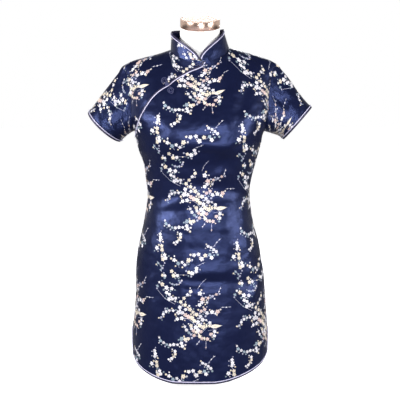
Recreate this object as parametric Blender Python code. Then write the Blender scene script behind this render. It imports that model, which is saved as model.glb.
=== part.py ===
"""A short cheongsam with short sleeves, worn by a limbless dress form, at real size.

Metres, +Z up, the front faces -Y and the floor is at z = 0. All the cloth follows one worn surface:
cloth_point(side, u, h) gives its point for a column u, from -1 at the left edge to 1 at the right edge,
and a nominal height h. Below CHEST_HEIGHT the surface is a stack of rings, and above it every column
runs from the last ring to the shoulder line or to the neckline.
"""

import math
from collections import namedtuple

import bmesh
import bpy
import numpy as np
from mathutils import Vector

# Cloth, seams and trims
CLOTH = 0.0011
SEAM_GAP = 0.0004
BINDING_WIDTH = 0.0055
BINDING_THICK = 0.0014
PIPING_RADIUS = 0.0009
PIPING_LIFT = 0.0004
OVERLAP_LIFT = 0.0024
COIL_LIFT = 0.0006
KNOT_FLATNESS = 0.72
# Height of the piping's middle over the worn surface, along the slanting opening
EDGING_TOP = OVERLAP_LIFT + BINDING_THICK - CLOTH + PIPING_LIFT + PIPING_RADIUS

# Main heights and the cuts
HEM_HEIGHT = 0.014
SLIT_TOP = 0.135
UNDERARM = 0.616
CHEST_HEIGHT = 0.650
TOP = 0.812
SHOULDER_HALF = 0.184
NECK_HALF = 0.070
NECK_FRONT = 0.064
NECK_BACK = 0.060
NECK_HEIGHT_FRONT = 0.785
NECK_HEIGHT_BACK = 0.815
NECK_HEIGHT_SIDE = {-1: 0.812, 1: 0.817}
ARMHOLE_FRONT = 0.042
ARMHOLE_BACK = 0.045
SLIT_SPREAD = 0.0075
# The rounded hem corners: how high they rise and how far in along the hem they start
HEM_CORNER_RISE = {-1: 0.060, 1: 0.066}
HEM_CORNER_REACH = {-1: 0.160, 1: 0.185}

# The box of the whole part is centred on the origin by this shift
CENTRE_SHIFT = Vector((-0.00075, -0.0003, 0.0))

Ring = namedtuple("Ring", "height left right front back power")
BODY_RINGS = [
    Ring(0.000, 0.163, 0.165, 0.112, 0.124, 2.4),
    Ring(0.060, 0.164, 0.166, 0.113, 0.126, 2.4),
    Ring(0.133, 0.165, 0.167, 0.113, 0.129, 2.4),
    Ring(0.182, 0.160, 0.164, 0.112, 0.131, 2.4),
    Ring(0.231, 0.157, 0.160, 0.112, 0.131, 2.35),
    Ring(0.270, 0.157, 0.157, 0.111, 0.129, 2.3),
    Ring(0.310, 0.154, 0.150, 0.110, 0.122, 2.3),
    Ring(0.349, 0.147, 0.143, 0.108, 0.112, 2.3),
    Ring(0.388, 0.138, 0.132, 0.104, 0.102, 2.25),
    Ring(0.427, 0.131, 0.125, 0.100, 0.092, 2.2),
    Ring(0.466, 0.127, 0.122, 0.097, 0.086, 2.2),
    Ring(0.496, 0.131, 0.125, 0.099, 0.084, 2.2),
    Ring(0.535, 0.136, 0.135, 0.109, 0.088, 2.25),
    Ring(0.574, 0.147, 0.145, 0.125, 0.094, 2.3),
    Ring(0.604, 0.154, 0.151, 0.130, 0.099, 2.35),
    Ring(0.620, 0.160, 0.158, 0.127, 0.102, 2.45),
    Ring(0.650, 0.168, 0.168, 0.118, 0.106, 2.7),
]

Shoulder = namedtuple("Shoulder", "reach left right")
SHOULDER_LINE = [
    Shoulder(0.070, 0.812, 0.817),
    Shoulder(0.100, 0.802, 0.809),
    Shoulder(0.135, 0.793, 0.799),
    Shoulder(0.165, 0.784, 0.789),
    Shoulder(0.184, 0.774, 0.779),
]

# The slanting opening, from the neck down to the side seam under the viewer's left arm
Opening = namedtuple("Opening", "x z")
OPENING_LINE = [
    Opening(0.006, 0.780),
    Opening(-0.021, 0.770),
    Opening(-0.047, 0.756),
    Opening(-0.070, 0.739),
    Opening(-0.094, 0.722),
    Opening(-0.112, 0.704),
    Opening(-0.126, 0.682),
    Opening(-0.137, 0.660),
    Opening(-0.144, 0.638),
    Opening(-0.151, 0.612),
    Opening(-0.155, 0.588),
]
OPENING_END = 0.590
TUCK_X = 0.007
TUCK_DROP = 0.010
LIFT_FULL = 0.020
LIFT_END = 0.050

# Worn folds: place on the front or back, slope of the crease, half length, half width and height
Fold = namedtuple("Fold", "side x z slope length width depth")
FOLDS = [
    Fold(1, -0.078, 0.607, 0, 0.045, 0.042, 0.006),
    Fold(1, 0.078, 0.607, 0, 0.045, 0.042, 0.006),
    Fold(1, 0.000, 0.548, 0, 0.060, 0.030, -0.0025),
    Fold(1, 0.040, 0.250, -4, 0.090, 0.013, -0.0030),
    Fold(1, 0.015, 0.278, 6, 0.080, 0.016, 0.0022),
    Fold(1, 0.076, 0.695, 78, 0.055, 0.014, 0.0026),
    Fold(1, 0.104, 0.690, 74, 0.050, 0.012, -0.0024),
    Fold(1, -0.108, 0.600, 35, 0.040, 0.014, -0.0030),
    Fold(1, 0.122, 0.602, -30, 0.040, 0.014, 0.0030),
    Fold(1, 0.118, 0.205, 70, 0.060, 0.018, 0.0030),
    Fold(1, -0.110, 0.190, -76, 0.060, 0.018, 0.0026),
    Fold(1, 0.085, 0.470, -14, 0.060, 0.013, -0.0028),
    Fold(1, -0.085, 0.455, 16, 0.055, 0.013, -0.0026),
    Fold(-1, 0.000, 0.420, 0, 0.080, 0.016, -0.0040),
    Fold(-1, 0.030, 0.455, 8, 0.070, 0.015, 0.0034),
    Fold(-1, -0.030, 0.385, -6, 0.080, 0.016, 0.0030),
    Fold(-1, 0.105, 0.660, 62, 0.060, 0.016, -0.0034),
    Fold(-1, -0.105, 0.655, -64, 0.060, 0.016, -0.0034),
    Fold(-1, 0.060, 0.180, 82, 0.080, 0.020, 0.0030),
    Fold(-1, -0.075, 0.170, 98, 0.080, 0.020, 0.0028),
]

# Sleeves: the cuff's centre, the way that it faces, its half sizes and how far its front hangs
Cuff = namedtuple("Cuff", "side centre facing across deep front_hang")
CUFFS = {
    "left": Cuff(-1, (-0.232, 0.004, 0.626), (-0.678, 0.0, -0.736), 0.053, 0.046, 0.009),
    "right": Cuff(1, (0.239, 0.004, 0.634), (0.755, 0.0, -0.658), 0.052, 0.046, -0.002),
}
SLEEVE_SPAN_STEPS = 6

# Stand collar
COLLAR_HEIGHT = 0.043
COLLAR_LIFT = 0.0020
COLLAR_FRONT_START = 0.005
COLLAR_RISE_REACH = 0.075
COLLAR_TOP_SHIFT = -0.006
COLLAR_TOP_SCALE = 0.89
# Height of its front ends, and the powers of the curve from there to the full height
COLLAR_END_RISE = 0.0075
COLLAR_END_SLOPE = 1.9
COLLAR_END_ROUND = 0.62
COLLAR_ROWS = (0.0, 0.34, 0.68, 1.0)

# Knotted fastenings: place, slope, how far each coil lies from the middle, and the cord's sizes
Frog = namedtuple(
    "Frog",
    "name x z slope reach_low reach_high radius turns cord knot knot_rise lower_gap upper_on_panel",
)
FROGS = [
    Frog(
        "chest_frog", -0.0745, 0.7395, -58, 0.0148, 0.0138, 0.0096, 2.0, 0.00120,
        knot=0.0048, knot_rise=0.0047, lower_gap=0.0024, upper_on_panel=True,
    ),
    Frog(
        "neck_frog", 0.0015, 0.7740, -8, 0.0094, 0.0092, 0.0054, 1.25, 0.00095,
        knot=0.0036, knot_rise=0.0018, lower_gap=0.0002, upper_on_panel=False,
    ),
]
# A coil's innermost turn starts this many cord radii from its middle
COIL_START = 1.5
COIL_STEPS = 12

# Dress form
FormRing = namedtuple("FormRing", "height half front back power")
FORM_TOP_RINGS = [
    FormRing(0.700, 0.1590, 0.0790, 0.0990, 2.3),
    FormRing(0.735, 0.1590, 0.0620, 0.0930, 2.1),
    FormRing(0.760, 0.1590, 0.0540, 0.0820, 1.8),
    FormRing(0.774, 0.1590, 0.0500, 0.0700, 1.5),
    FormRing(0.784, 0.1590, 0.0470, 0.0620, 1.28),
    FormRing(0.7915, 0.1310, 0.0460, 0.0570, 1.25),
    FormRing(0.7985, 0.0985, 0.0450, 0.0520, 1.20),
    FormRing(0.8050, 0.0680, 0.0460, 0.0490, 1.35),
    FormRing(0.8170, 0.0530, 0.0470, 0.0470, 1.85),
    FormRing(0.834, 0.0485, 0.0480, 0.0475, 2.0),
]
FORM_CLEARANCE = 0.0052
FORM_BASE = [
    FormRing(0.000, 0.085, 0.055, 0.085, 2.2),
    FormRing(0.012, 0.105, 0.072, 0.096, 2.2),
    FormRing(0.045, 0.132, 0.092, 0.108, 2.3),
    FormRing(0.095, 0.153, 0.104, 0.120, 2.35),
]
FORM_HEIGHTS = [0.150, 0.210, 0.270, 0.330, 0.390, 0.430]
FORM_HEIGHTS += [0.466, 0.510, 0.550, 0.600, 0.635, 0.665]
FORM_WIDEST = 0.160
FORM_LARGEST_POWER = 2.5
# The chest of the form leans back from the cloth over the bust by this share of the height
FORM_CHEST_LEAN = 0.9
NECK_RADIUS = 0.048
NECK_TOP_CENTRE = Vector((0.001, -0.006, 0.8665))
NECK_TILT = math.radians(16)
CAP_HEIGHT = 0.020

# Mesh resolution
CENTRE_COLUMNS = 4
SIDE_COLUMNS = 7
SLEEVE_HALF_POINTS = 14
FORM_POINTS = 28

# Base colour, roughness and metallic of each stuff
FINISHES = {
    "navy_brocade": ((0.012, 0.018, 0.075), 0.38, 0.0),
    "dark_binding": ((0.010, 0.009, 0.030), 0.45, 0.0),
    "silver_piping": ((0.50, 0.48, 0.66), 0.40, 0.0),
    "navy_cord": ((0.014, 0.018, 0.070), 0.45, 0.0),
    "form_white": ((0.80, 0.79, 0.77), 0.60, 0.0),
    "rose_metal": ((0.66, 0.47, 0.38), 0.18, 1.0),
}


def interpolate(table, column, where):
    """Reads a column of a table at a place between its rows, on a smooth curve."""
    keys = [row[0] for row in table]
    values = [getattr(row, column) for row in table]
    where = min(max(where, keys[0]), keys[-1])
    last = len(keys) - 1
    i = min(int(np.searchsorted(keys, where, side="right")) - 1, last - 1)

    def slope(k):
        low, high = max(k - 1, 0), min(k + 1, last)
        return (values[high] - values[low]) / (keys[high] - keys[low])

    span = keys[i + 1] - keys[i]
    t = (where - keys[i]) / span
    return (
        (2 * t**3 - 3 * t**2 + 1) * values[i]
        + (t**3 - 2 * t**2 + t) * span * slope(i)
        + (3 * t**2 - 2 * t**3) * values[i + 1]
        + (t**3 - t**2) * span * slope(i + 1)
    )


def ease(x):
    """Goes from 0 to 1 without a corner."""
    x = min(max(x, 0.0), 1.0)
    return x * x * (3 - 2 * x)


def side_of(u):
    """Column of the tables for the half that u lies in."""
    return "left" if u < 0 else "right"


def depth_name(side):
    """Column of the ring table for the front or the back."""
    return "front" if side > 0 else "back"


def ring_depth(side, share, h):
    """Depth of the ring at h, where share is x as a part of the ring's half width."""
    depth = interpolate(BODY_RINGS, depth_name(side), h)
    power = interpolate(BODY_RINGS, "power", h)
    return depth * max(1 - abs(share) ** power, 0.0) ** (1 / power)


def edge_share(side, h):
    """Where the cloth ends sideways, as a part of the ring's half width: 1 at the side seam."""
    if h <= UNDERARM:
        return 1.0
    full = ARMHOLE_FRONT if side > 0 else ARMHOLE_BACK
    rise = min((h - UNDERARM) / (CHEST_HEIGHT - UNDERARM), 1.0)
    opened = full * math.sqrt(1 - (1 - rise) ** 2)
    depth = interpolate(BODY_RINGS, depth_name(side), h)
    power = interpolate(BODY_RINGS, "power", h)
    return (1 - (opened / depth) ** power) ** (1 / power)


def column_share(side, u, h):
    """x of column u as a part of the ring's half width."""
    return math.sin(u * math.asin(edge_share(side, h)))


def neck_height(angle):
    """Height of the neckline at an angle round the neck, 0 at the front and positive to the right."""
    sideways = NECK_HEIGHT_SIDE[1 if math.sin(angle) > 0 else -1]
    if math.cos(angle) > 0:
        return NECK_HEIGHT_FRONT + (sideways - NECK_HEIGHT_FRONT) * (1 - math.cos(angle))
    return sideways + (NECK_HEIGHT_BACK - sideways) * -math.cos(angle)


def top_point(side, u):
    """Where column u ends, on the shoulder line or on the neckline."""
    x = SHOULDER_HALF * column_share(side, u, CHEST_HEIGHT) / edge_share(side, CHEST_HEIGHT)
    if abs(x) >= NECK_HALF - 1e-6:
        return Vector((x, -side * SEAM_GAP, interpolate(SHOULDER_LINE, side_of(u), abs(x))))
    out = NECK_FRONT if side > 0 else NECK_BACK
    angle = math.asin(x / NECK_HALF)
    if side < 0:
        angle = math.pi - angle
    return Vector((x, -out * math.cos(angle), neck_height(angle)))


def bare_point(side, u, h):
    """The worn surface without its folds. side is 1 for the front and -1 for the back."""
    if h <= CHEST_HEIGHT:
        half = interpolate(BODY_RINGS, side_of(u), h)
        share = column_share(side, u, h)
        y = max(ring_depth(side, share, h), SEAM_GAP)
        if h < SLIT_TOP:
            y += SLIT_SPREAD * ease((SLIT_TOP - h) / 0.02) * abs(u) ** 9
        return Vector((half * share, -side * y, h))
    rise = (h - CHEST_HEIGHT) / (TOP - CHEST_HEIGHT)
    start = bare_point(side, u, CHEST_HEIGHT)
    end = top_point(side, u)
    shoulder = ease((abs(end.x) - 0.015) / 0.060)
    if side > 0:
        depth = (1 - rise) ** (1.35 - 0.75 * shoulder)
    else:
        depth = (1 - rise ** (3.0 - 0.6 * shoulder)) ** (0.9 - 0.4 * shoulder)
    x = start.x + (end.x - start.x) * rise**3
    y = end.y + (start.y - end.y) * depth
    return Vector((x, y, start.z + (end.z - start.z) * rise))


def fold_height(side, x, z):
    """How far the folds push the cloth out at a place on the front or the back."""
    out = 0.0
    for fold in FOLDS:
        if fold.side != side:
            continue
        slope = math.radians(fold.slope)
        along = (x - fold.x) * math.cos(slope) + (z - fold.z) * math.sin(slope)
        over = (z - fold.z) * math.cos(slope) - (x - fold.x) * math.sin(slope)
        out += fold.depth * math.exp(-((along / fold.length) ** 2) - (over / fold.width) ** 2)
    return out


def surface_normal(side, u, h):
    """Outward normal of the worn surface. On a seam it stays in the seam's plane."""
    step = 0.004
    low, high = max(h - step, 0.0), min(h + step, TOP)
    left, right = max(u - step, -1.0), min(u + step, 1.0)
    across = bare_point(side, right, h) - bare_point(side, left, h)
    up = bare_point(side, u, high) - bare_point(side, u, low)
    normal = across.cross(up) * side
    on_side_seam = abs(u) > 0.9999 and h <= UNDERARM + 1e-6
    on_shoulder = h > TOP - 1e-6 and abs(bare_point(side, u, h).x) >= NECK_HALF - 1e-4
    if on_side_seam or on_shoulder:
        normal.y = 0.0
    return normal.normalized()


def cloth_point(side, u, h, lift=0.0):
    """The worn surface with its folds, moved out along its normal by lift."""
    bare = bare_point(side, u, h)
    calm = ease((1 - abs(u)) / 0.12) * ease((TOP - h) / 0.03)
    return bare + surface_normal(side, u, h) * (lift + calm * fold_height(side, bare.x, bare.z))


def column_at(side, x, z):
    """The column and nominal height of the place on the front or the back at x and z."""
    rise = 0.0
    edge = edge_share(side, CHEST_HEIGHT)
    angle_edge = math.asin(edge)
    if z <= CHEST_HEIGHT:
        half = interpolate(BODY_RINGS, side_of(x), z)
        share = min(max(x / half, -1.0), 1.0)
        return min(max(math.asin(share) / math.asin(edge_share(side, z)), -1.0), 1.0), z
    half = interpolate(BODY_RINGS, side_of(x), CHEST_HEIGHT)
    u = 0.0
    for _ in range(12):
        reach = half + (SHOULDER_HALF / edge - half) * rise**3
        u = min(max(math.asin(min(max(x / reach, -edge), edge)) / angle_edge, -1.0), 1.0)
        rise = min((z - CHEST_HEIGHT) / (top_point(side, u).z - CHEST_HEIGHT), 1.0)
    return u, CHEST_HEIGHT + rise * (TOP - CHEST_HEIGHT)


def opening_line(shift_x=0.0, shift_z=0.0):
    """The slanting opening as columns over nominal heights, from the side seam up to the neck."""
    places = [column_at(1, row.x + shift_x, row.z + shift_z) for row in OPENING_LINE[:-1]]
    neck_u = places[0][0] + 0.3 * (places[0][0] - places[1][0])
    places = [(neck_u, TOP)] + places + [(-1.0, OPENING_END + shift_z)]
    places.sort(key=lambda place: place[1])
    return [place[1] for place in places], [place[0] for place in places]


EDGE_HEIGHTS, EDGE_COLUMNS = opening_line()
TUCK_HEIGHTS, TUCK_COLUMNS = opening_line(TUCK_X, -TUCK_DROP)


def overlap_lift(x, z):
    """How far the front stands off where it overlaps the under-piece."""
    nearest = LIFT_END
    for first, second in zip(OPENING_LINE, OPENING_LINE[1:]):
        start, run = Vector(first), Vector(second) - Vector(first)
        share = min(max((Vector((x, z)) - start).dot(run) / run.length_squared, 0.0), 1.0)
        nearest = min(nearest, (start + run * share - Vector((x, z))).length)
    return OVERLAP_LIFT * (1 - ease((nearest - LIFT_FULL) / (LIFT_END - LIFT_FULL)))


def front_lift(u, h):
    """How far the front stands off the worn surface at a column and a nominal height."""
    bare = bare_point(1, u, h)
    return overlap_lift(bare.x, bare.z)


def edge_distance(side):
    """Columns and their distances along the hem from the middle of the panel."""
    columns = np.linspace(-1, 1, 121)
    points = [bare_point(side, u, HEM_HEIGHT) for u in columns]
    steps = [0.0] + [(b - a).length for a, b in zip(points, points[1:])]
    return columns, np.cumsum(steps)


HEM_MEASURE = {side: edge_distance(side) for side in (1, -1)}


def hem_height(side, u):
    """Height of the bound edge of the hem at column u, with its rounded corners."""
    columns, lengths = HEM_MEASURE[side]
    along = np.interp(u, columns, lengths)
    half = 1 if u > 0 else -1
    from_edge = lengths[-1] - along if half > 0 else along
    left = max(1 - from_edge / HEM_CORNER_REACH[half], 0.0)
    return HEM_HEIGHT + HEM_CORNER_RISE[half] * left**1.5


def panel_columns():
    """Columns across a whole panel, with one at each end of the neckline."""
    edge = edge_share(1, CHEST_HEIGHT)
    neck = math.asin(NECK_HALF * edge / SHOULDER_HALF) / math.asin(edge)
    middle = [neck * i / CENTRE_COLUMNS for i in range(CENTRE_COLUMNS)]
    outer = [neck + (1 - neck) * i / SIDE_COLUMNS for i in range(SIDE_COLUMNS + 1)]
    half = middle + outer
    return [-u for u in reversed(half[1:])] + half, neck


COLUMNS, NECK_COLUMN = panel_columns()
SKIRT_HEIGHTS = [0.135, 0.175, 0.215, 0.245, 0.270, 0.305, 0.350, 0.395, 0.435, 0.470]
WAIST_HEIGHTS = [0.508, 0.545, 0.572, 0.590]
CHEST_HEIGHTS = [0.603, UNDERARM, 0.623, 0.634, CHEST_HEIGHT, 0.672, 0.696, 0.718, 0.739]
SHOULDER_HEIGHTS = [0.758, 0.775, 0.789, 0.800, 0.807, TOP]
PANEL_HEIGHTS = SKIRT_HEIGHTS + WAIST_HEIGHTS + CHEST_HEIGHTS + SHOULDER_HEIGHTS
UPPER_HEIGHTS = CHEST_HEIGHTS + SHOULDER_HEIGHTS
HEM_ROWS = 3


def hem_rows(side, columns):
    """Rows from the rounded hem up to the top of the slits, short of the edge by the binding."""
    rows = []
    for i in range(HEM_ROWS):
        share = i / HEM_ROWS
        row = []
        for u in columns:
            low = hem_height(side, u) + BINDING_WIDTH + SEAM_GAP
            row.append((u, low + (SLIT_TOP - low) * share))
        rows.append(row)
    return rows


def link_grid(mesh, grid, closed=False):
    """Joins a grid of vertices with four-sided faces, and wraps it round where it is closed."""
    for low, high in zip(grid, grid[1:]):
        pairs = list(zip(low, low[1:])) if not closed else list(zip(low, low[1:] + low[:1]))
        tops = list(zip(high, high[1:])) if not closed else list(zip(high, high[1:] + high[:1]))
        for (a, b), (c, d) in zip(pairs, tops):
            mesh.faces.new((a, b, d, c))


def finish_material(name):
    """Makes a finish once and gives it back after that."""
    if name in bpy.data.materials:
        return bpy.data.materials[name]
    colour, roughness, metallic = FINISHES[name]
    material = bpy.data.materials.new(name)
    material.use_nodes = True
    shader = material.node_tree.nodes["Principled BSDF"]
    shader.inputs["Base Color"].default_value = (*colour, 1.0)
    shader.inputs["Roughness"].default_value = roughness
    shader.inputs["Metallic"].default_value = metallic
    return material


def add_object(name, mesh, finish):
    """Turns a bmesh into a smooth-shaded object of the part's collection."""
    bmesh.ops.recalc_face_normals(mesh, faces=mesh.faces)
    data = bpy.data.meshes.new(name)
    mesh.to_mesh(data)
    mesh.free()
    data.materials.append(finish_material(finish))
    data.shade_smooth()
    data.set_sharp_from_angle(angle=math.radians(50))
    made = bpy.data.objects.new(name, data)
    made.location = CENTRE_SHIFT
    bpy.data.collections[COLLECTION].objects.link(made)
    return made


def cloth_wall(name, outer, inner, finish, closed=False):
    """A cloth wall between two grids of points, closed along its edges."""
    mesh = bmesh.new()
    skins = [[[mesh.verts.new(point) for point in row] for row in grid] for grid in (outer, inner)]
    link_grid(mesh, skins[0], closed)
    link_grid(mesh, [list(reversed(row)) for row in skins[1]], closed)
    rims = [[skins[1][0], skins[0][0]], [skins[0][-1], skins[1][-1]]]
    for rim in rims:
        link_grid(mesh, rim, closed)
    if not closed:
        for edge in (0, -1):
            link_grid(mesh, [[row[edge] for row in skins[0]], [row[edge] for row in skins[1]]])
    return add_object(name, mesh, finish)


def panel(name, side, rows, lift=None):
    """A panel of cloth over rows of (column, nominal height) places."""
    outer, inner = [], []
    for row in rows:
        raised = [lift(u, h) if lift else 0.0 for u, h in row]
        outer.append([cloth_point(side, u, h, up) for (u, h), up in zip(row, raised)])
        inner.append([cloth_point(side, u, h, up - CLOTH) for (u, h), up in zip(row, raised)])
    return cloth_wall(name, outer, inner, "navy_brocade")


def front_row(h):
    """Columns of the front at height h: left of the neck they are squeezed beside the opening."""
    left = float(np.interp(h, EDGE_HEIGHTS, EDGE_COLUMNS))
    row = []
    for u in COLUMNS:
        if u < NECK_COLUMN:
            u = NECK_COLUMN + (u - NECK_COLUMN) * (NECK_COLUMN - left) / (NECK_COLUMN + 1)
        row.append((u, h))
    return row


def front_rows():
    """Rows of the front, from its rounded hem to the shoulders."""
    rows = hem_rows(1, COLUMNS)
    return rows + [front_row(h) for h in PANEL_HEIGHTS]


def yoke_rows():
    """Rows of the under-piece, from the side seam up to the neckline."""
    first_right = float(np.interp(TOP, TUCK_HEIGHTS, TUCK_COLUMNS))
    shares = [(u + 1) / (first_right + 1) for u in COLUMNS if u < first_right - 0.03] + [1.0]
    rows = []
    for h in [OPENING_END + 0.001] + UPPER_HEIGHTS:
        right = float(np.interp(h, TUCK_HEIGHTS, TUCK_COLUMNS))
        rows.append([(-1 + (right + 1) * share, h) for share in shares])
    return rows


def back_rows():
    """Rows of the back, from its rounded hem to the shoulders."""
    rows = hem_rows(-1, COLUMNS)
    return rows + [[(u, h) for u in COLUMNS] for h in PANEL_HEIGHTS]


def edging(name, path, normals, outward, closed=False):
    """A dark binding strip along a cloth edge and a light piping cord over the seam beside it.

    path runs along the cloth's outer edge, normals point out of the cloth and outward points
    from the edge away from the panel, all as lists of vectors.
    """
    mesh = bmesh.new()
    sides = [[], [], [], []]
    under = -CLOTH
    corners = (
        (SEAM_GAP, under),
        (SEAM_GAP + BINDING_WIDTH, under),
        (SEAM_GAP + BINDING_WIDTH, under + BINDING_THICK),
        (SEAM_GAP, under + BINDING_THICK),
    )
    for point, normal, out in zip(path, normals, outward):
        for side, (reach, height) in zip(sides, corners):
            side.append(mesh.verts.new(point + out * reach + normal * height))
    rows = [list(ring) for ring in zip(*sides)]
    if closed:
        rows.append(rows[0])
    link_grid(mesh, rows, closed=True)
    if not closed:
        mesh.faces.new(rows[0])
        mesh.faces.new(list(reversed(rows[-1])))
    add_object(name + "_binding", mesh, "dark_binding")

    height = BINDING_THICK - CLOTH + PIPING_RADIUS + PIPING_LIFT
    places = [
        point + out * SEAM_GAP / 2 + normal * height
        for point, normal, out in zip(path, normals, outward)
    ]
    cord(name + "_piping", places, PIPING_RADIUS, "silver_piping", closed)


def cord(name, places, radius, finish, closed=False, resolution=1):
    """A round cord through a row of places."""
    curve = bpy.data.curves.new(name, "CURVE")
    curve.dimensions = "3D"
    curve.bevel_depth = radius
    curve.bevel_resolution = resolution
    curve.use_fill_caps = True
    spline = curve.splines.new("POLY")
    spline.points.add(len(places) - 1)
    for point, place in zip(spline.points, places):
        point.co = (*place, 1.0)
    spline.use_cyclic_u = closed
    curve.materials.append(finish_material(finish))
    made = bpy.data.objects.new(name, curve)
    made.location = CENTRE_SHIFT
    bpy.data.collections[COLLECTION].objects.link(made)
    return made


def path_frame(path, normals, away_from, closed=False):
    """Directions out of an edge, square to it and to the cloth's normals, away from inner points."""
    outward = []
    last = len(path) - 1
    for i, (point, normal, inner) in enumerate(zip(path, normals, away_from)):
        before = path[i - 1] if i or closed else path[0]
        after = path[(i + 1) % len(path)] if i < last or closed else path[last]
        out = (after - before).cross(normal).normalized()
        if out.dot(point - inner) < 0:
            out = -out
        outward.append(out)
    return outward


def edge_path(side, places, inner_places, lift=0.0):
    """Points, normals and outward directions along places on the cloth's edge."""
    path = [cloth_point(side, u, h, lift) for u, h in places]
    inner = [cloth_point(side, u, h, lift) for u, h in inner_places]
    normals = [surface_normal(side, u, h) for u, h in places]
    return path, normals, path_frame(path, normals, inner)


def build_panels():
    """The front, the under-piece that shows left of its opening, and the back."""
    front = front_rows()
    panel("front_main", 1, front, front_lift)
    panel("front_yoke", 1, yoke_rows())
    panel("back", -1, back_rows())


def build_hem_edgings():
    """Bindings and pipings round the hem, up each side of the slits."""
    for side, name in ((1, "hem_front"), (-1, "hem_back")):
        rows = hem_rows(side, COLUMNS)
        left = [row[0] for row in reversed(rows[1:])]
        right = [row[-1] for row in rows[1:]]
        inside_left = [row[1] for row in reversed(rows[1:])]
        inside_right = [row[-2] for row in rows[1:]]
        edging(name, *edge_path(side, left + rows[0] + right, inside_left + rows[1] + inside_right))


def build_opening_edging():
    """Binding and piping along the slanting opening, on the lifted edge of the front."""
    heights = [h for h in UPPER_HEIGHTS if h < TOP - 0.004]
    places = [front_row(h)[0] for h in heights]
    inside = [(u + 0.08, h - 0.01) for u, h in places]
    path, normals, outward = edge_path(1, places, inside, OVERLAP_LIFT)
    edging("placket", path, normals, outward)


def armhole(cuff):
    """The armhole's points from the underarm, up the front to the shoulder and down the back."""
    heights = [h for h in UPPER_HEIGHTS if h >= UNDERARM]
    front = [cloth_point(1, cuff.side, h) for h in heights]
    back = [cloth_point(-1, cuff.side, h) for h in heights]
    low = (front[0] + back[0]) / 2
    top = (front[-1] + back[-1]) / 2
    return [low] + front[1:-1] + [top] + list(reversed(back[1:-1]))


def resample(loop, count):
    """Spreads count points evenly along the two halves of a loop, keeping its first point."""
    closed = loop + loop[:1]
    steps = [0.0] + [(b - a).length for a, b in zip(closed, closed[1:])]
    lengths = np.cumsum(steps)
    middle = lengths[len(loop) // 2]
    wanted = list(np.linspace(0, middle, count // 2, endpoint=False))
    wanted += list(np.linspace(middle, lengths[-1], count // 2, endpoint=False))
    axes = [np.interp(wanted, lengths, [point[k] for point in closed]) for k in range(3)]
    return [Vector(point) for point in zip(*axes)]


def sleeve_grid(cuff):
    """Outer and inner points of a sleeve, ring by ring from the armhole to the cuff."""
    facing = Vector(cuff.facing)
    across = Vector((-facing.z * cuff.side, 0, facing.x * cuff.side))
    start = resample(armhole(cuff), 2 * SLEEVE_HALF_POINTS)
    centre = Vector(cuff.centre)
    lead = Vector((cuff.side * 0.93, 0, -0.36))
    rings = []
    for step in range(SLEEVE_SPAN_STEPS + 1):
        t = step / SLEEVE_SPAN_STEPS
        ring = []
        for i, base in enumerate(start):
            angle = 2 * math.pi * i / len(start) - math.pi / 2
            end = centre + across * cuff.across * math.sin(angle)
            end += Vector((0, -cuff.deep * math.cos(angle), 0))
            end += facing * cuff.front_hang * max(math.cos(angle), 0.0)
            end -= facing * (BINDING_WIDTH + SEAM_GAP)
            top = (1 + math.sin(angle)) / 2
            first = base + lead * SEAM_GAP * 1.5
            run = (end - first).length
            leave = (lead * (0.35 + 0.45 * (1 - top)) + facing * 0.4 * top).normalized() * run
            arrive = facing * run
            point = (
                first * (2 * t**3 - 3 * t**2 + 1)
                + leave * (t**3 - 2 * t**2 + t)
                + end * (3 * t**2 - 2 * t**3)
                + arrive * (t**3 - t**2)
            )
            ring.append(point)
        rings.append(ring)
    return rings


def ring_normals(rings):
    """Normals of a tube of rings, pointing away from each ring's middle."""
    normals = []
    last = len(rings) - 1
    for k, ring in enumerate(rings):
        middle = sum(ring, Vector()) / len(ring)
        row = []
        for i, point in enumerate(ring):
            along = rings[min(k + 1, last)][i] - rings[max(k - 1, 0)][i]
            around = ring[(i + 1) % len(ring)] - ring[i - 1]
            normal = along.cross(around).normalized()
            row.append(normal if normal.dot(point - middle) > 0 else -normal)
        normals.append(row)
    return normals


def build_sleeves():
    """Both sleeves, each a tube of cloth with a bound cuff."""
    for name, cuff in CUFFS.items():
        rings = sleeve_grid(cuff)
        normals = ring_normals(rings)
        inner = [
            [point - normal * CLOTH for point, normal in zip(ring, row)]
            for ring, row in zip(rings, normals)
        ]
        cloth_wall("sleeve_" + name, rings, inner, "navy_brocade", closed=True)
        outward = path_frame(rings[-1], normals[-1], rings[-2], closed=True)
        edging("cuff_" + name, rings[-1], normals[-1], outward, closed=True)


def collar_point(angle, up, lift=0.0):
    """A point of the stand collar at an angle round the neck and a height above its seam."""
    depth = NECK_FRONT if math.cos(angle) > 0 else NECK_BACK
    share = up / COLLAR_HEIGHT
    scale = 1 + (COLLAR_TOP_SCALE - 1) * share
    x = (NECK_HALF + lift) * math.sin(angle) * scale + COLLAR_TOP_SHIFT * share
    y = -(depth + lift) * math.cos(angle) * scale
    return Vector((x, y, neck_height(angle) + COLLAR_LIFT + up))


def collar_rise(angle):
    """Height of the collar's bound edge at an angle round the neck, low at its front ends."""
    from_front = (math.pi - abs(abs(angle) - math.pi)) * NECK_HALF
    left = max(1 - max(from_front - COLLAR_FRONT_START, 0.0) / COLLAR_RISE_REACH, 0.0)
    rise = (1 - left**COLLAR_END_SLOPE) ** COLLAR_END_ROUND
    return COLLAR_END_RISE + (COLLAR_HEIGHT - COLLAR_END_RISE) * rise


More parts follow.
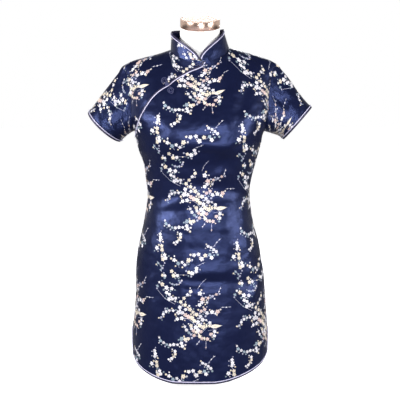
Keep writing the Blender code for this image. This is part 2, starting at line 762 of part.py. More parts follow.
def build_collar():
    """The collar's wall with its rounded front ends, and the edging on its top."""
    first = COLLAR_FRONT_START / NECK_HALF
    near = [first + 0.10 * i for i in range(10)]
    far = list(np.linspace(near[-1] + 0.17, 2 * math.pi - near[-1] - 0.17, 16))
    angles = near + far + [2 * math.pi - angle for angle in reversed(near)]
    cut = BINDING_WIDTH + SEAM_GAP
    outer, inner = [], []
    for share in COLLAR_ROWS:
        tops = [max(collar_rise(angle) - cut, 0.002) for angle in angles]
        outer.append([collar_point(a, top * share) for a, top in zip(angles, tops)])
        inner.append([collar_point(a, top * share, -CLOTH) for a, top in zip(angles, tops)])
    cloth_wall("collar", outer, inner, "navy_brocade")
    path = outer[-1]
    normals = []
    for angle in angles:
        normals.append(Vector((math.sin(angle), -math.cos(angle), 0.1)).normalized())
    below = [point - Vector((0, 0, 0.01)) for point in path]
    edging("collar", path, normals, path_frame(path, normals, below))


def coil(name, middle, frog, lift, spin):
    """A flat coil of cord on the front, round a middle in x and z."""
    steps = int(frog.turns * COIL_STEPS)
    places = []
    for i in range(steps + 1):
        share = i / steps
        angle = spin + 2 * math.pi * frog.turns * share
        start = frog.cord * COIL_START
        reach = start + (frog.radius - frog.cord - start) * share
        x = middle.x + reach * math.cos(angle)
        z = middle.y + reach * math.sin(angle)
        u, h = column_at(1, x, z)
        places.append(cloth_point(1, u, h, lift(x, z) + frog.cord + COIL_LIFT))
    cord(name, places, frog.cord, "navy_cord")


def knot(name, middle, size, rise):
    """A round knot that bridges the opening's edge."""
    u, h = column_at(1, middle.x, middle.y)
    centre = cloth_point(1, u, h, EDGING_TOP + rise)
    mesh = bmesh.new()
    bmesh.ops.create_uvsphere(mesh, u_segments=12, v_segments=8, radius=size)
    for vert in mesh.verts:
        vert.co.y *= KNOT_FLATNESS
        vert.co += centre
    add_object(name, mesh, "navy_cord")


def build_frogs():
    """Two coils and a knot on the slanting opening, and a small set where it meets the neck."""
    for frog in FROGS:
        turn = math.radians(frog.slope)
        along = Vector((math.cos(turn), math.sin(turn)))
        middle = Vector((frog.x, frog.z))
        low = middle + along * frog.reach_low
        high = middle - along * frog.reach_high
        upper_lift = flat_lift if frog.upper_on_panel else over_edging_lift

        def lower_lift(x, z, gap=frog.lower_gap):
            return overlap_lift(x, z) + gap

        coil(frog.name + "_lower", low, frog, lower_lift, turn + math.pi)
        coil(frog.name + "_upper", high, frog, upper_lift, turn)
        knot(frog.name + "_knot", middle, frog.knot, frog.knot_rise)


def flat_lift(x, z):
    """The under-piece lies on the worn surface itself."""
    return 0.0


def over_edging_lift(x, z):
    """Clears the binding and the piping of the opening."""
    return EDGING_TOP + PIPING_RADIUS - SEAM_GAP


def superellipse(radius_x, front, back, power, angle):
    """A point of a ring that is flatter than an ellipse, with unlike front and back depths."""
    x = math.copysign(abs(math.sin(angle)) ** (2 / power), math.sin(angle)) * radius_x
    depth = front if math.cos(angle) > 0 else back
    y = -math.copysign(abs(math.cos(angle)) ** (2 / power), math.cos(angle)) * depth
    return Vector((x, y, 0))


def form_ring(row):
    """The points of one level ring of the form."""
    ring = []
    for i in range(FORM_POINTS):
        angle = 2 * math.pi * i / FORM_POINTS
        point = superellipse(row.half, row.front, row.back, row.power, angle)
        ring.append(point + Vector((0, 0, row.height)))
    return ring


def form_rings():
    """The dress form's rings, from its flat base to the tilted top of its neck."""
    rows = list(FORM_BASE)
    for height in FORM_HEIGHTS:
        h = min(height, CHEST_HEIGHT)
        half = min(interpolate(BODY_RINGS, name, h) for name in ("left", "right"))
        half = min(half - FORM_CLEARANCE, FORM_WIDEST)
        above = max(height - CHEST_HEIGHT, 0.0)
        front = interpolate(BODY_RINGS, "front", h) - FORM_CLEARANCE - above * FORM_CHEST_LEAN
        back = interpolate(BODY_RINGS, "back", h) - FORM_CLEARANCE
        power = min(interpolate(BODY_RINGS, "power", h), FORM_LARGEST_POWER)
        rows.append(FormRing(height, half, front, back, power))
    rows += FORM_TOP_RINGS
    rings = [form_ring(row) for row in rows]
    rings.append(tilted_ring(NECK_TOP_CENTRE, NECK_RADIUS))
    return rings


def tilted_ring(centre, radius):
    """A round ring square to the leaning neck."""
    forward = Vector((0, -math.cos(NECK_TILT), -math.sin(NECK_TILT)))
    ring = []
    for i in range(FORM_POINTS):
        angle = 2 * math.pi * i / FORM_POINTS
        sideways = Vector((radius * math.sin(angle), 0, 0))
        ring.append(centre + sideways + forward * radius * math.cos(angle))
    return ring


def build_form():
    """The limbless form and the polished cap on its neck."""
    mesh = bmesh.new()
    rings = [[mesh.verts.new(point) for point in ring] for ring in form_rings()]
    link_grid(mesh, rings, closed=True)
    mesh.faces.new(rings[0])
    mesh.faces.new(rings[-1])
    add_object("dress_form", mesh, "form_white")

    lean = Vector((0, -math.sin(NECK_TILT), math.cos(NECK_TILT)))
    base = NECK_TOP_CENTRE + lean * SEAM_GAP
    rim = 0.0015
    sections = ((0.0, -rim), (rim, 0.0), (CAP_HEIGHT - rim, 0.0), (CAP_HEIGHT, -rim))
    mesh = bmesh.new()
    rings = []
    for up, wider in sections:
        ring = tilted_ring(base + lean * up, NECK_RADIUS + wider)
        rings.append([mesh.verts.new(point) for point in ring])
    link_grid(mesh, rings, closed=True)
    mesh.faces.new(rings[0])
    mesh.faces.new(rings[-1])
    add_object("neck_cap", mesh, "rose_metal")


COLLECTION = "cheongsam_on_dress_form"

for old in list(bpy.data.objects):
    bpy.data.objects.remove(old)
bpy.context.scene.collection.children.link(bpy.data.collections.new(COLLECTION))
build_panels()
build_hem_edgings()
build_opening_edging()
build_sleeves()
build_collar()
build_frogs()
build_form()
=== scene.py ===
"""The looks of a short silk-brocade cheongsam on a limbless dress form.

Metres, +Z up, the front faces -Y. Every cloth piece follows one worn surface, the same as the solids:
a place on it is a side (1 front, -1 back), a column u from -1 at the left to 1 at the right, and a
nominal height h. The woven blossom boughs are laid out on the flat cloth, by its distance from the
middle of the panel and its height, and then carried onto the worn surface.
"""
import sys
import logging
import math
import random
from dataclasses import dataclass, field
from enum import Enum
from typing import Callable, Iterable, Sequence

import bmesh
import bpy
import numpy as np
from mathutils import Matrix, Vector


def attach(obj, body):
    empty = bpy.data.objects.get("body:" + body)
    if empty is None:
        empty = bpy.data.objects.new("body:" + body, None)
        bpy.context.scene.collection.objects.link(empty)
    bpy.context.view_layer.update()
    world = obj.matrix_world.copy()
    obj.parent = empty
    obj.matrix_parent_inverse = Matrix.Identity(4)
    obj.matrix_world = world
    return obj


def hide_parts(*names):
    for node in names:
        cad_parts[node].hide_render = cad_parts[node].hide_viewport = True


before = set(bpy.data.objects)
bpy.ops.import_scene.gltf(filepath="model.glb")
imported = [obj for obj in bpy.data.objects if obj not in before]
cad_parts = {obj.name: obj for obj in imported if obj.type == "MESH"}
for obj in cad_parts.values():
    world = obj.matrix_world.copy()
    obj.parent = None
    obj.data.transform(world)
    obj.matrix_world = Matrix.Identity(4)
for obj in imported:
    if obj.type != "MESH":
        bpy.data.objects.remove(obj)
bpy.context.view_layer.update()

LOG = logging.getLogger("cheongsam")
Array = np.ndarray

# Cloth, seams and trims
CLOTH = 0.0011
SEAM_GAP = 0.0004
BINDING_WIDTH = 0.0055
BINDING_THICK = 0.0014
PIPING_RADIUS = 0.0009
PIPING_LIFT = 0.0004
OVERLAP_LIFT = 0.0024
COIL_LIFT = 0.0006
COIL_START = 1.5
KNOT_FLATNESS = 0.72
EDGING_TOP = OVERLAP_LIFT + BINDING_THICK - CLOTH + PIPING_LIFT + PIPING_RADIUS

# Stitches beside the seams
STITCH_INSET = 0.0017
STITCH_LIFT = 0.00022
STITCH_PITCH = 0.0026
STITCH_LENGTH = 0.0017
STITCH_RADIUS = 0.00017

# Main heights and the cuts
HEM_HEIGHT = 0.014
SLIT_TOP = 0.135
UNDERARM = 0.616
CHEST_HEIGHT = 0.650
TOP = 0.812
SHOULDER_HALF = 0.184
NECK_HALF = 0.070
NECK_FRONT = 0.064
NECK_BACK = 0.060
NECK_HEIGHT_FRONT = 0.785
NECK_HEIGHT_BACK = 0.815
NECK_HEIGHT_SIDE = {-1: 0.812, 1: 0.817}
ARMHOLE_FRONT = 0.042
ARMHOLE_BACK = 0.045
SLIT_SPREAD = 0.0075
HEM_CORNER_RISE = {-1: 0.060, 1: 0.066}
HEM_CORNER_REACH = {-1: 0.160, 1: 0.185}

# The box of the whole part is centred on the origin by this shift
CENTRE_SHIFT = np.array((-0.00075, -0.0003, 0.0))

# Body rings: height, half width to the left and right, depth to the front and back, roundness
BODY_RINGS = np.array((
    (0.000, 0.163, 0.165, 0.112, 0.124, 2.4),
    (0.060, 0.164, 0.166, 0.113, 0.126, 2.4),
    (0.133, 0.165, 0.167, 0.113, 0.129, 2.4),
    (0.182, 0.160, 0.164, 0.112, 0.131, 2.4),
    (0.231, 0.157, 0.160, 0.112, 0.131, 2.35),
    (0.270, 0.157, 0.157, 0.111, 0.129, 2.3),
    (0.310, 0.154, 0.150, 0.110, 0.122, 2.3),
    (0.349, 0.147, 0.143, 0.108, 0.112, 2.3),
    (0.388, 0.138, 0.132, 0.104, 0.102, 2.25),
    (0.427, 0.131, 0.125, 0.100, 0.092, 2.2),
    (0.466, 0.127, 0.122, 0.097, 0.086, 2.2),
    (0.496, 0.131, 0.125, 0.099, 0.084, 2.2),
    (0.535, 0.136, 0.135, 0.109, 0.088, 2.25),
    (0.574, 0.147, 0.145, 0.125, 0.094, 2.3),
    (0.604, 0.154, 0.151, 0.130, 0.099, 2.35),
    (0.620, 0.160, 0.158, 0.127, 0.102, 2.45),
    (0.650, 0.168, 0.168, 0.118, 0.106, 2.7),
))
RING_LEFT, RING_RIGHT, RING_FRONT, RING_BACK, RING_POWER = range(1, 6)

# Shoulder line: distance from the middle, height on the left and on the right
SHOULDER_LINE = np.array((
    (0.070, 0.812, 0.817),
    (0.100, 0.802, 0.809),
    (0.135, 0.793, 0.799),
    (0.165, 0.784, 0.789),
    (0.184, 0.774, 0.779),
))

# The slanting opening as x and z, from the neck down to the side seam
OPENING_LINE = np.array((
    (0.006, 0.7690),
    (-0.021, 0.7585),
    (-0.047, 0.7440),
    (-0.070, 0.7265),
    (-0.094, 0.7125),
    (-0.112, 0.6950),
    (-0.126, 0.6735),
    (-0.137, 0.6540),
    (-0.144, 0.6350),
    (-0.151, 0.612),
    (-0.155, 0.588),
))
OPENING_END = 0.590
TUCK = (0.007, -0.010)
LIFT_FULL = 0.020
LIFT_END = 0.050

# Worn folds: side, x, z, slope in degrees, half length, half width and height
LARGE_FOLDS = (
    (1, -0.078, 0.607, 0, 0.045, 0.042, 0.006), (1, 0.078, 0.607, 0, 0.045, 0.042, 0.006),
    (1, 0.0, 0.548, 0, 0.06, 0.03, -0.0025), (1, 0.03, 0.262, -3, 0.08, 0.012, -0.0042),
    (1, 0.02, 0.286, 3, 0.08, 0.014, 0.0032), (1, 0.076, 0.695, 78, 0.055, 0.014, 0.0026),
    (1, 0.104, 0.69, 74, 0.05, 0.012, -0.0024), (1, -0.108, 0.6, 35, 0.04, 0.014, -0.003),
    (1, 0.122, 0.602, -30, 0.04, 0.014, 0.003), (1, 0.118, 0.205, 70, 0.06, 0.018, 0.003),
    (1, -0.11, 0.19, -76, 0.06, 0.018, 0.0026), (1, 0.085, 0.47, -14, 0.06, 0.013, -0.0028),
    (1, -0.085, 0.455, 16, 0.055, 0.013, -0.0026), (-1, 0.0, 0.42, 0, 0.08, 0.016, -0.004),
    (-1, 0.03, 0.455, 8, 0.07, 0.015, 0.0034), (-1, -0.03, 0.385, -6, 0.08, 0.016, 0.003),
    (-1, 0.105, 0.66, 62, 0.06, 0.016, -0.0034), (-1, -0.105, 0.655, -64, 0.06, 0.016, -0.0034),
    (-1, 0.06, 0.18, 82, 0.08, 0.02, 0.003), (-1, -0.075, 0.17, 98, 0.08, 0.02, 0.0028),
)

# Finer folds and soft wrinkles, laid one by one from the way that the cloth catches the light
FINE_FOLDS = (
    (1, 0.036, 0.614, 0, 0.054, 0.012, -0.0032), (1, 0.036, 0.586, -2, 0.054, 0.013, 0.0048),
    (1, 0.02, 0.56, 6, 0.04, 0.01, 0.0016), (1, 0.09, 0.601, 24, 0.026, 0.006, 0.0026),
    (1, 0.096, 0.59, 26, 0.028, 0.006, -0.0024), (1, -0.06, 0.566, 8, 0.04, 0.011, -0.0016),
    (1, 0.04, 0.562, -6, 0.05, 0.011, -0.0024), (1, 0.055, 0.544, 8, 0.026, 0.012, -0.0028),
    (1, 0.052, 0.516, 8, 0.028, 0.013, 0.0038), (1, -0.052, 0.546, -6, 0.024, 0.011, -0.0022),
    (1, -0.05, 0.52, -6, 0.026, 0.012, 0.0028), (1, -0.01, 0.492, -5, 0.07, 0.012, -0.0022),
    (1, 0.036, 0.458, 4, 0.07, 0.012, 0.0022), (1, -0.03, 0.432, 5, 0.07, 0.012, -0.0022),
    (1, 0.02, 0.392, -3, 0.08, 0.013, 0.002), (1, 0.0, 0.34, 3, 0.07, 0.013, -0.0018),
    (1, 0.0, 0.245, 1, 0.07, 0.007, -0.0016), (1, -0.03, 0.256, -3, 0.05, 0.007, 0.0012),
    (1, 0.088, 0.345, -10, 0.03, 0.01, 0.0014), (1, -0.104, 0.27, 30, 0.03, 0.008, 0.0014),
    (1, 0.136, 0.238, 62, 0.034, 0.009, 0.0016), (1, 0.126, 0.252, 66, 0.032, 0.008, -0.0014),
    (1, -0.062, 0.12, 86, 0.07, 0.016, 0.001), (1, 0.054, 0.11, 94, 0.07, 0.016, 0.0011),
    (1, -0.012, 0.16, 84, 0.06, 0.014, -0.0009), (1, 0.148, 0.64, 84, 0.04, 0.007, 0.0018),
    (1, 0.138, 0.64, 84, 0.04, 0.006, -0.0016), (1, -0.08, 0.7, 70, 0.026, 0.007, 0.0012),
    (1, -0.066, 0.694, 72, 0.026, 0.007, -0.001), (1, 0.03, 0.7, 40, 0.04, 0.012, -0.0008),
    (-1, 0.0, 0.452, 2, 0.06, 0.008, 0.0016), (-1, 0.05, 0.415, -8, 0.05, 0.008, -0.0014),
    (-1, -0.05, 0.44, 8, 0.05, 0.008, -0.0014), (-1, 0.07, 0.56, 28, 0.05, 0.01, 0.0014),
    (-1, -0.07, 0.565, -28, 0.05, 0.01, 0.0014), (-1, 0.11, 0.61, 58, 0.034, 0.008, 0.0018),
    (-1, -0.11, 0.606, -58, 0.034, 0.008, 0.0018), (-1, 0.0, 0.69, 0, 0.07, 0.014, -0.001),
    (-1, 0.095, 0.25, 72, 0.05, 0.01, 0.0013), (-1, -0.095, 0.245, -72, 0.05, 0.01, 0.0013),
    (-1, 0.0, 0.13, 90, 0.07, 0.015, -0.001),
)


def ease(x: Array | float) -> Array:
    """Goes from 0 to 1 without a corner.

    Args:
        x: Where on the way, clipped to 0 and 1.

    Returns:
        The eased share.
    """
    x = np.clip(x, 0.0, 1.0)
    return x * x * (3 - 2 * x)


def interpolate(table: Array, column: int, where: Array | float) -> Array:
    """Reads a column of a table between its rows, on a smooth curve.

    Args:
        table: Rows with their place in the first column.
        column: Which column to read.
        where: Places to read it at.

    Returns:
        The values there.
    """
    keys = table[:, 0]
    values = table[:, column]
    last = len(keys) - 1
    where = np.clip(np.asarray(where, float), keys[0], keys[-1])
    i = np.clip(np.searchsorted(keys, where, side="right") - 1, 0, last - 1)
    low = np.clip(np.arange(last + 1) - 1, 0, last)
    high = np.clip(np.arange(last + 1) + 1, 0, last)
    slopes = (values[high] - values[low]) / (keys[high] - keys[low])
    span = keys[i + 1] - keys[i]
    t = (where - keys[i]) / span
    return (
        (2 * t**3 - 3 * t**2 + 1) * values[i]
        + (t**3 - 2 * t**2 + t) * span * slopes[i]
        + (3 * t**2 - 2 * t**3) * values[i + 1]
        + (t**3 - t**2) * span * slopes[i + 1]
    )


def unit(vectors: Array) -> Array:
    """Scales vectors in the last axis to length 1."""
    return vectors / np.maximum(np.linalg.norm(vectors, axis=-1, keepdims=True), 1e-12)


def line_lengths(points: Array) -> Array:
    """Distance along a line of points at each of them."""
    return np.concatenate(((0.0,), np.cumsum(np.linalg.norm(np.diff(points, axis=0), axis=1))))


def row_lengths(grid: Array) -> Array:
    """Distance along each row of a grid of points."""
    steps = np.linalg.norm(np.diff(grid, axis=1), axis=-1)
    return np.concatenate((np.zeros((len(grid), 1)), np.cumsum(steps, axis=1)), axis=1)


def read_line(points: Array, lengths: Array, wanted: Array) -> Array:
    """Points at wanted distances along a line."""
    return np.stack([np.interp(wanted, lengths, points[:, k]) for k in range(points.shape[1])], axis=-1)


def blur(grid: Array, axis: int, spread: float) -> Array:
    """Softens a grid of points along one axis, going straight on past its ends.

    Args:
        grid: Points in the last axis.
        axis: 0 for down the rows, 1 for along them.
        spread: Of the bell curve, in grid steps.

    Returns:
        The softened grid.
    """
    reach = int(3 * spread)
    weights = np.exp(-0.5 * (np.arange(-reach, reach + 1) / spread) ** 2)
    weights /= weights.sum()
    pads = [(reach, reach) if k == axis else (0, 0) for k in range(3)]
    padded = np.pad(grid, pads, mode="reflect", reflect_type="odd")
    count = grid.shape[axis]
    out = np.zeros_like(grid)
    for k, weight in enumerate(weights):
        out += weight * np.take(padded, range(k, k + count), axis=axis)
    return out


def read_grid(table: Array, row: Array, column: Array) -> Array:
    """Reads a grid of vectors between its rows and columns."""
    low = np.clip(row.astype(int), 0, table.shape[0] - 2)
    left = np.clip(column.astype(int), 0, table.shape[1] - 2)
    up, over = (row - low)[..., None], (column - left)[..., None]
    first = table[low, left] * (1 - over) + table[low, left + 1] * over
    second = table[low + 1, left] * (1 - over) + table[low + 1, left + 1] * over
    return first * (1 - up) + second * up


class WornSurface:
    """The surface that the cloth follows: the same as the solids, with the finer folds added.

    It is worked out once on a close grid, where the corners between its stretches are softened,
    and read between the grid's points after that.
    """

    step: float = 0.004
    table_rows: int = 407
    table_columns: int = 401
    corner_softness: float = 8.0
    soft_inset: tuple[float, float] = (0.15, 0.03)
    fold_inset: tuple[float, float] = (0.12, 0.03)
    edge_inset: tuple[float, float] = (0.04, 0.01)

    def __init__(self) -> None:
        """Works out the grids of both sides."""
        self.tables = {side: self.table(side) for side in (1, -1)}

    def calm(self, u: Array, h: Array, inset: tuple[float, float]) -> Array:
        """Fades from 1 to 0 towards the side edges and the top, over an inset in u and in h."""
        return ease((1 - np.abs(u)) / inset[0]) * ease((TOP - h) / inset[1])

    def table(self, side: int) -> tuple[Array, Array]:
        """The grid of points and of normals of one side."""
        u = np.linspace(-1, 1, self.table_columns)[None, :]
        h = np.linspace(0, TOP, self.table_rows)[:, None]
        bare = self.bare_point(side, u, h)
        soft = blur(blur(bare, 0, self.corner_softness / 2), 1, self.corner_softness)
        bare = bare + (soft - bare) * self.calm(u, h, self.soft_inset)[..., None]
        normals = unit(np.cross(np.gradient(bare, axis=1), np.gradient(bare, axis=0)) * side)
        exact = self.exact_normal(side, u, h)
        edge = 1 - self.calm(u, h, self.edge_inset)
        normals = unit(normals + (exact - normals) * edge[..., None])
        folds = self.calm(u, h, self.fold_inset) * self.fold_height(side, bare[..., 0], bare[..., 2])
        return bare + normals * folds[..., None] + CENTRE_SHIFT, normals

    def grid_place(self, u: Array | float, h: Array | float) -> tuple[Array, Array]:
        """Row and column of places in the grids."""
        u, h = np.broadcast_arrays(np.asarray(u, float), np.asarray(h, float))
        row = np.clip(h / TOP, 0.0, 1.0) * (self.table_rows - 1)
        column = (np.clip(u, -1.0, 1.0) + 1) / 2 * (self.table_columns - 1)
        return row, column

    def half_width(self, u: Array, h: Array) -> Array:
        """Half width of the body ring at h, on the side that u lies on."""
        left = interpolate(BODY_RINGS, RING_LEFT, h)
        right = interpolate(BODY_RINGS, RING_RIGHT, h)
        return np.where(u < 0, left, right)

    def edge_share(self, side: int, h: Array) -> Array:
        """Where the cloth ends sideways, as a part of the half width: 1 at the side seam."""
        full = ARMHOLE_FRONT if side > 0 else ARMHOLE_BACK
        rise = np.clip((h - UNDERARM) / (CHEST_HEIGHT - UNDERARM), 0.0, 1.0)
        opened = full * np.sqrt(1 - (1 - rise) ** 2)
        depth = interpolate(BODY_RINGS, RING_FRONT if side > 0 else RING_BACK, h)
        power = interpolate(BODY_RINGS, RING_POWER, h)
        return (1 - (opened / depth) ** power) ** (1 / power)

    def neck_height(self, angle: Array) -> Array:
        """Height of the neckline at an angle round the neck, 0 at the front."""
        sideways = np.where(np.sin(angle) > 0, NECK_HEIGHT_SIDE[1], NECK_HEIGHT_SIDE[-1])
        ahead = NECK_HEIGHT_FRONT + (sideways - NECK_HEIGHT_FRONT) * (1 - np.cos(angle))
        behind = sideways - (NECK_HEIGHT_BACK - sideways) * np.cos(angle)
        return np.where(np.cos(angle) > 0, ahead, behind)

    def top_point(self, side: int, u: Array) -> Array:
        """Where column u ends, on the shoulder line or on the neckline."""
        edge = float(self.edge_share(side, CHEST_HEIGHT))
        x = SHOULDER_HALF * np.sin(u * math.asin(edge)) / edge
        left = interpolate(SHOULDER_LINE, 1, np.abs(x))
        right = interpolate(SHOULDER_LINE, 2, np.abs(x))
        out = NECK_FRONT if side > 0 else NECK_BACK
        angle = np.arcsin(np.clip(x / NECK_HALF, -1, 1))
        angle = angle if side > 0 else math.pi - angle
        on_shoulder = np.abs(x) >= NECK_HALF - 1e-6
        y = np.where(on_shoulder, -side * SEAM_GAP, -out * np.cos(angle))
        z = np.where(on_shoulder, np.where(u < 0, left, right), self.neck_height(angle))
        return np.stack((x, y, z), axis=-1)

    def ring_point(self, side: int, u: Array, h: Array) -> Array:
        """The surface below the chest, without folds."""
        share = np.sin(u * np.arcsin(self.edge_share(side, h)))
        depth = interpolate(BODY_RINGS, RING_FRONT if side > 0 else RING_BACK, h)
        power = interpolate(BODY_RINGS, RING_POWER, h)
        deep = depth * np.maximum(1 - np.abs(share) ** power, 0.0) ** (1 / power)
        y = np.maximum(deep, SEAM_GAP)
        y = y + np.where(h < SLIT_TOP, SLIT_SPREAD * ease((SLIT_TOP - h) / 0.02) * np.abs(u) ** 9, 0.0)
        return np.stack((self.half_width(u, h) * share, -side * y, h + 0 * u), axis=-1)

    def bare_point(self, side: int, u: Array | float, h: Array | float) -> Array:
        """The worn surface without its folds.

        Args:
            side: 1 for the front, -1 for the back.
            u: Columns.
            h: Nominal heights, of the same shape.

        Returns:
            Points, in the last axis.
        """
        u, h = np.broadcast_arrays(np.asarray(u, float), np.asarray(h, float))
        low = self.ring_point(side, u, np.minimum(h, CHEST_HEIGHT))
        rise = np.clip((h - CHEST_HEIGHT) / (TOP - CHEST_HEIGHT), 0.0, 1.0)
        start = self.ring_point(side, u, np.full_like(h, CHEST_HEIGHT))
        end = self.top_point(side, u)
        shoulder = ease((np.abs(end[..., 0]) - 0.015) / 0.060)
        if side > 0:
            depth = (1 - rise) ** (1.35 - 0.75 * shoulder)
        else:
            depth = (1 - rise ** (3.0 - 0.6 * shoulder)) ** (0.9 - 0.4 * shoulder)
        high = np.stack((
            start[..., 0] + (end[..., 0] - start[..., 0]) * rise**3,
            end[..., 1] + (start[..., 1] - end[..., 1]) * depth,
            start[..., 2] + (end[..., 2] - start[..., 2]) * rise,
        ), axis=-1)
        return np.where((h <= CHEST_HEIGHT)[..., None], low, high)

    def fold_height(self, side: int, x: Array, z: Array) -> Array:
        """How far the folds push the cloth out at places on the front or the back."""
        out = np.zeros_like(x)
        for fold_side, fold_x, fold_z, slope, length, width, depth in LARGE_FOLDS + FINE_FOLDS:
            if fold_side != side:
                continue
            turn = math.radians(slope)
            along = (x - fold_x) * math.cos(turn) + (z - fold_z) * math.sin(turn)
            over = (z - fold_z) * math.cos(turn) - (x - fold_x) * math.sin(turn)
            out += depth * np.exp(-((along / length) ** 2) - (over / width) ** 2)
        return out

    def normal(self, side: int, u: Array | float, h: Array | float) -> Array:
        """Outward normal of the worn surface at places."""
        return unit(read_grid(self.tables[side][1], *self.grid_place(u, h)))

    def exact_normal(self, side: int, u: Array | float, h: Array | float) -> Array:
        """Outward normal of the bare surface. On a seam it stays in the seam's plane."""
        u, h = np.broadcast_arrays(np.asarray(u, float), np.asarray(h, float))
        low, high = np.maximum(h - self.step, 0.0), np.minimum(h + self.step, TOP)
        left, right = np.maximum(u - self.step, -1.0), np.minimum(u + self.step, 1.0)
        across = self.bare_point(side, right, h) - self.bare_point(side, left, h)
        up = self.bare_point(side, u, high) - self.bare_point(side, u, low)
        normal = np.cross(across, up) * side
        on_side_seam = (np.abs(u) > 0.9999) & (h <= UNDERARM + 1e-6)
        top = self.bare_point(side, u, h)[..., 0]
        on_shoulder = (h > TOP - 1e-6) & (np.abs(top) >= NECK_HALF - 1e-4)
        normal[on_side_seam | on_shoulder, 1] = 0.0
        return unit(normal)

    def point(self, side: int, u: Array | float, h: Array | float, lift: Array | float = 0.0) -> Array:
        """The worn surface with its folds, moved out along its normal.

        Args:
            side: 1 for the front, -1 for the back.
            u: Columns.
            h: Nominal heights.
            lift: Distance out of the worn surface.

        Returns:
            Points of the cloth's outside.
        """
        row, column = self.grid_place(u, h)
        normal = unit(read_grid(self.tables[side][1], row, column))
        return read_grid(self.tables[side][0], row, column) + normal * np.asarray(lift)[..., None]

    def column_at(self, side: int, x: float, z: float) -> tuple[float, float]:
        """The column and nominal height of the place on a side at x and z."""
        edge = float(self.edge_share(side, CHEST_HEIGHT))
        if z <= CHEST_HEIGHT:
            half = float(self.half_width(np.float64(x), z))
            share = min(max(x / half, -1.0), 1.0)
            return max(-1.0, min(1.0, math.asin(share) / math.asin(float(self.edge_share(side, z))))), z
        half = float(self.half_width(np.float64(x), CHEST_HEIGHT))
        rise = u = 0.0
        for _ in range(12):
            reach = half + (SHOULDER_HALF / edge - half) * rise**3
            u = min(max(math.asin(min(max(x / reach, -edge), edge)) / math.asin(edge), -1.0), 1.0)
            top = float(self.top_point(side, np.float64(u))[2])
            rise = min((z - CHEST_HEIGHT) / (top - CHEST_HEIGHT), 1.0)
        return u, CHEST_HEIGHT + rise * (TOP - CHEST_HEIGHT)

    def opening_line(self, shift: tuple[float, float] = (0.0, 0.0)) -> tuple[Array, Array]:
        """The slanting opening as nominal heights and their columns, from the side seam to the neck."""
        places = [self.column_at(1, x + shift[0], z + shift[1]) for x, z in OPENING_LINE[:-1]]
        neck = places[0][0] + 0.3 * (places[0][0] - places[1][0])
        places = [(neck, TOP)] + places + [(-1.0, OPENING_END + shift[1])]
        places.sort(key=lambda place: place[1])
        return np.array([p[1] for p in places]), np.array([p[0] for p in places])

    def overlap_lift(self, x: Array, z: Array) -> Array:
        """How far the front stands off where it overlaps the under-piece."""
        nearest = np.full(np.shape(x), LIFT_END)
        for first, second in zip(OPENING_LINE, OPENING_LINE[1:]):
            run = second - first
            share = np.clip(((x - first[0]) * run[0] + (z - first[1]) * run[1]) / (run @ run), 0, 1)
            gap = np.hypot(x - first[0] - run[0] * share, z - first[1] - run[1] * share)
            nearest = np.minimum(nearest, gap)
        return OVERLAP_LIFT * (1 - ease((nearest - LIFT_FULL) / (LIFT_END - LIFT_FULL)))


SURFACE = WornSurface()
EDGE_HEIGHTS, EDGE_COLUMNS = SURFACE.opening_line()
TUCK_HEIGHTS, TUCK_COLUMNS = SURFACE.opening_line(TUCK)


class Graph:
    """A node tree under construction, for a finish or for a generator of repeated pieces."""

    def __init__(self, tree: bpy.types.NodeTree) -> None:
        """Takes an empty tree."""
        self.tree = tree

    def node(self, kind: str, settings: dict | None = None, inputs: dict | None = None) -> bpy.types.Node:
        """Adds a node.

        Args:
            kind: Blender's name for the type of node.
            settings: Its own settings, set first.
            inputs: Values or links by the socket's name or number.

        Returns:
            The node.
        """
        made = self.tree.nodes.new(kind)
        for key, value in (settings or {}).items():
            setattr(made, key, value)
        for key, value in (inputs or {}).items():
            self.feed(made.inputs[key], value)
        return made

    def feed(self, socket: bpy.types.NodeSocket, value: object) -> None:
        """Links or sets one input."""
        if isinstance(value, Term):
            value = value.socket
        if isinstance(value, bpy.types.NodeSocket):
            self.tree.links.new(value, socket)
        else:
            socket.default_value = value

    def term(self, kind: str, settings: dict | None = None, inputs: dict | None = None,
             output: str | int = 0) -> "Term":
        """Adds a node and gives one of its outputs as a term for arithmetic."""
        return Term(self, self.node(kind, settings, inputs).outputs[output])

    def mix(self, share: "Term | float", first: object, second: object, mode: str = "MIX") -> "Term":
        """Blends two colours."""
        settings = {"data_type": "RGBA", "blend_type": mode}
        return self.term("ShaderNodeMix", settings, {0: share, 6: first, 7: second}, 2)

    def noise(self, place: object, scale: float, detail: float) -> "Term":
        """A noise texture at places."""
        return self.term("ShaderNodeTexNoise", None, {"Vector": place, "Scale": scale, "Detail": detail})

    def bump(self, strength: float, distance: float, height: "Term", **more: object) -> bpy.types.NodeSocket:
        """The normal of a surface with these heights."""
        inputs = {"Strength": strength, "Distance": distance, "Height": height, **more}
        return self.node("ShaderNodeBump", None, inputs).outputs[0]

    def shader(self, inputs: dict) -> bpy.types.Node:
        """The main shader with these inputs."""
        return self.node("ShaderNodeBsdfPrincipled", None, inputs)


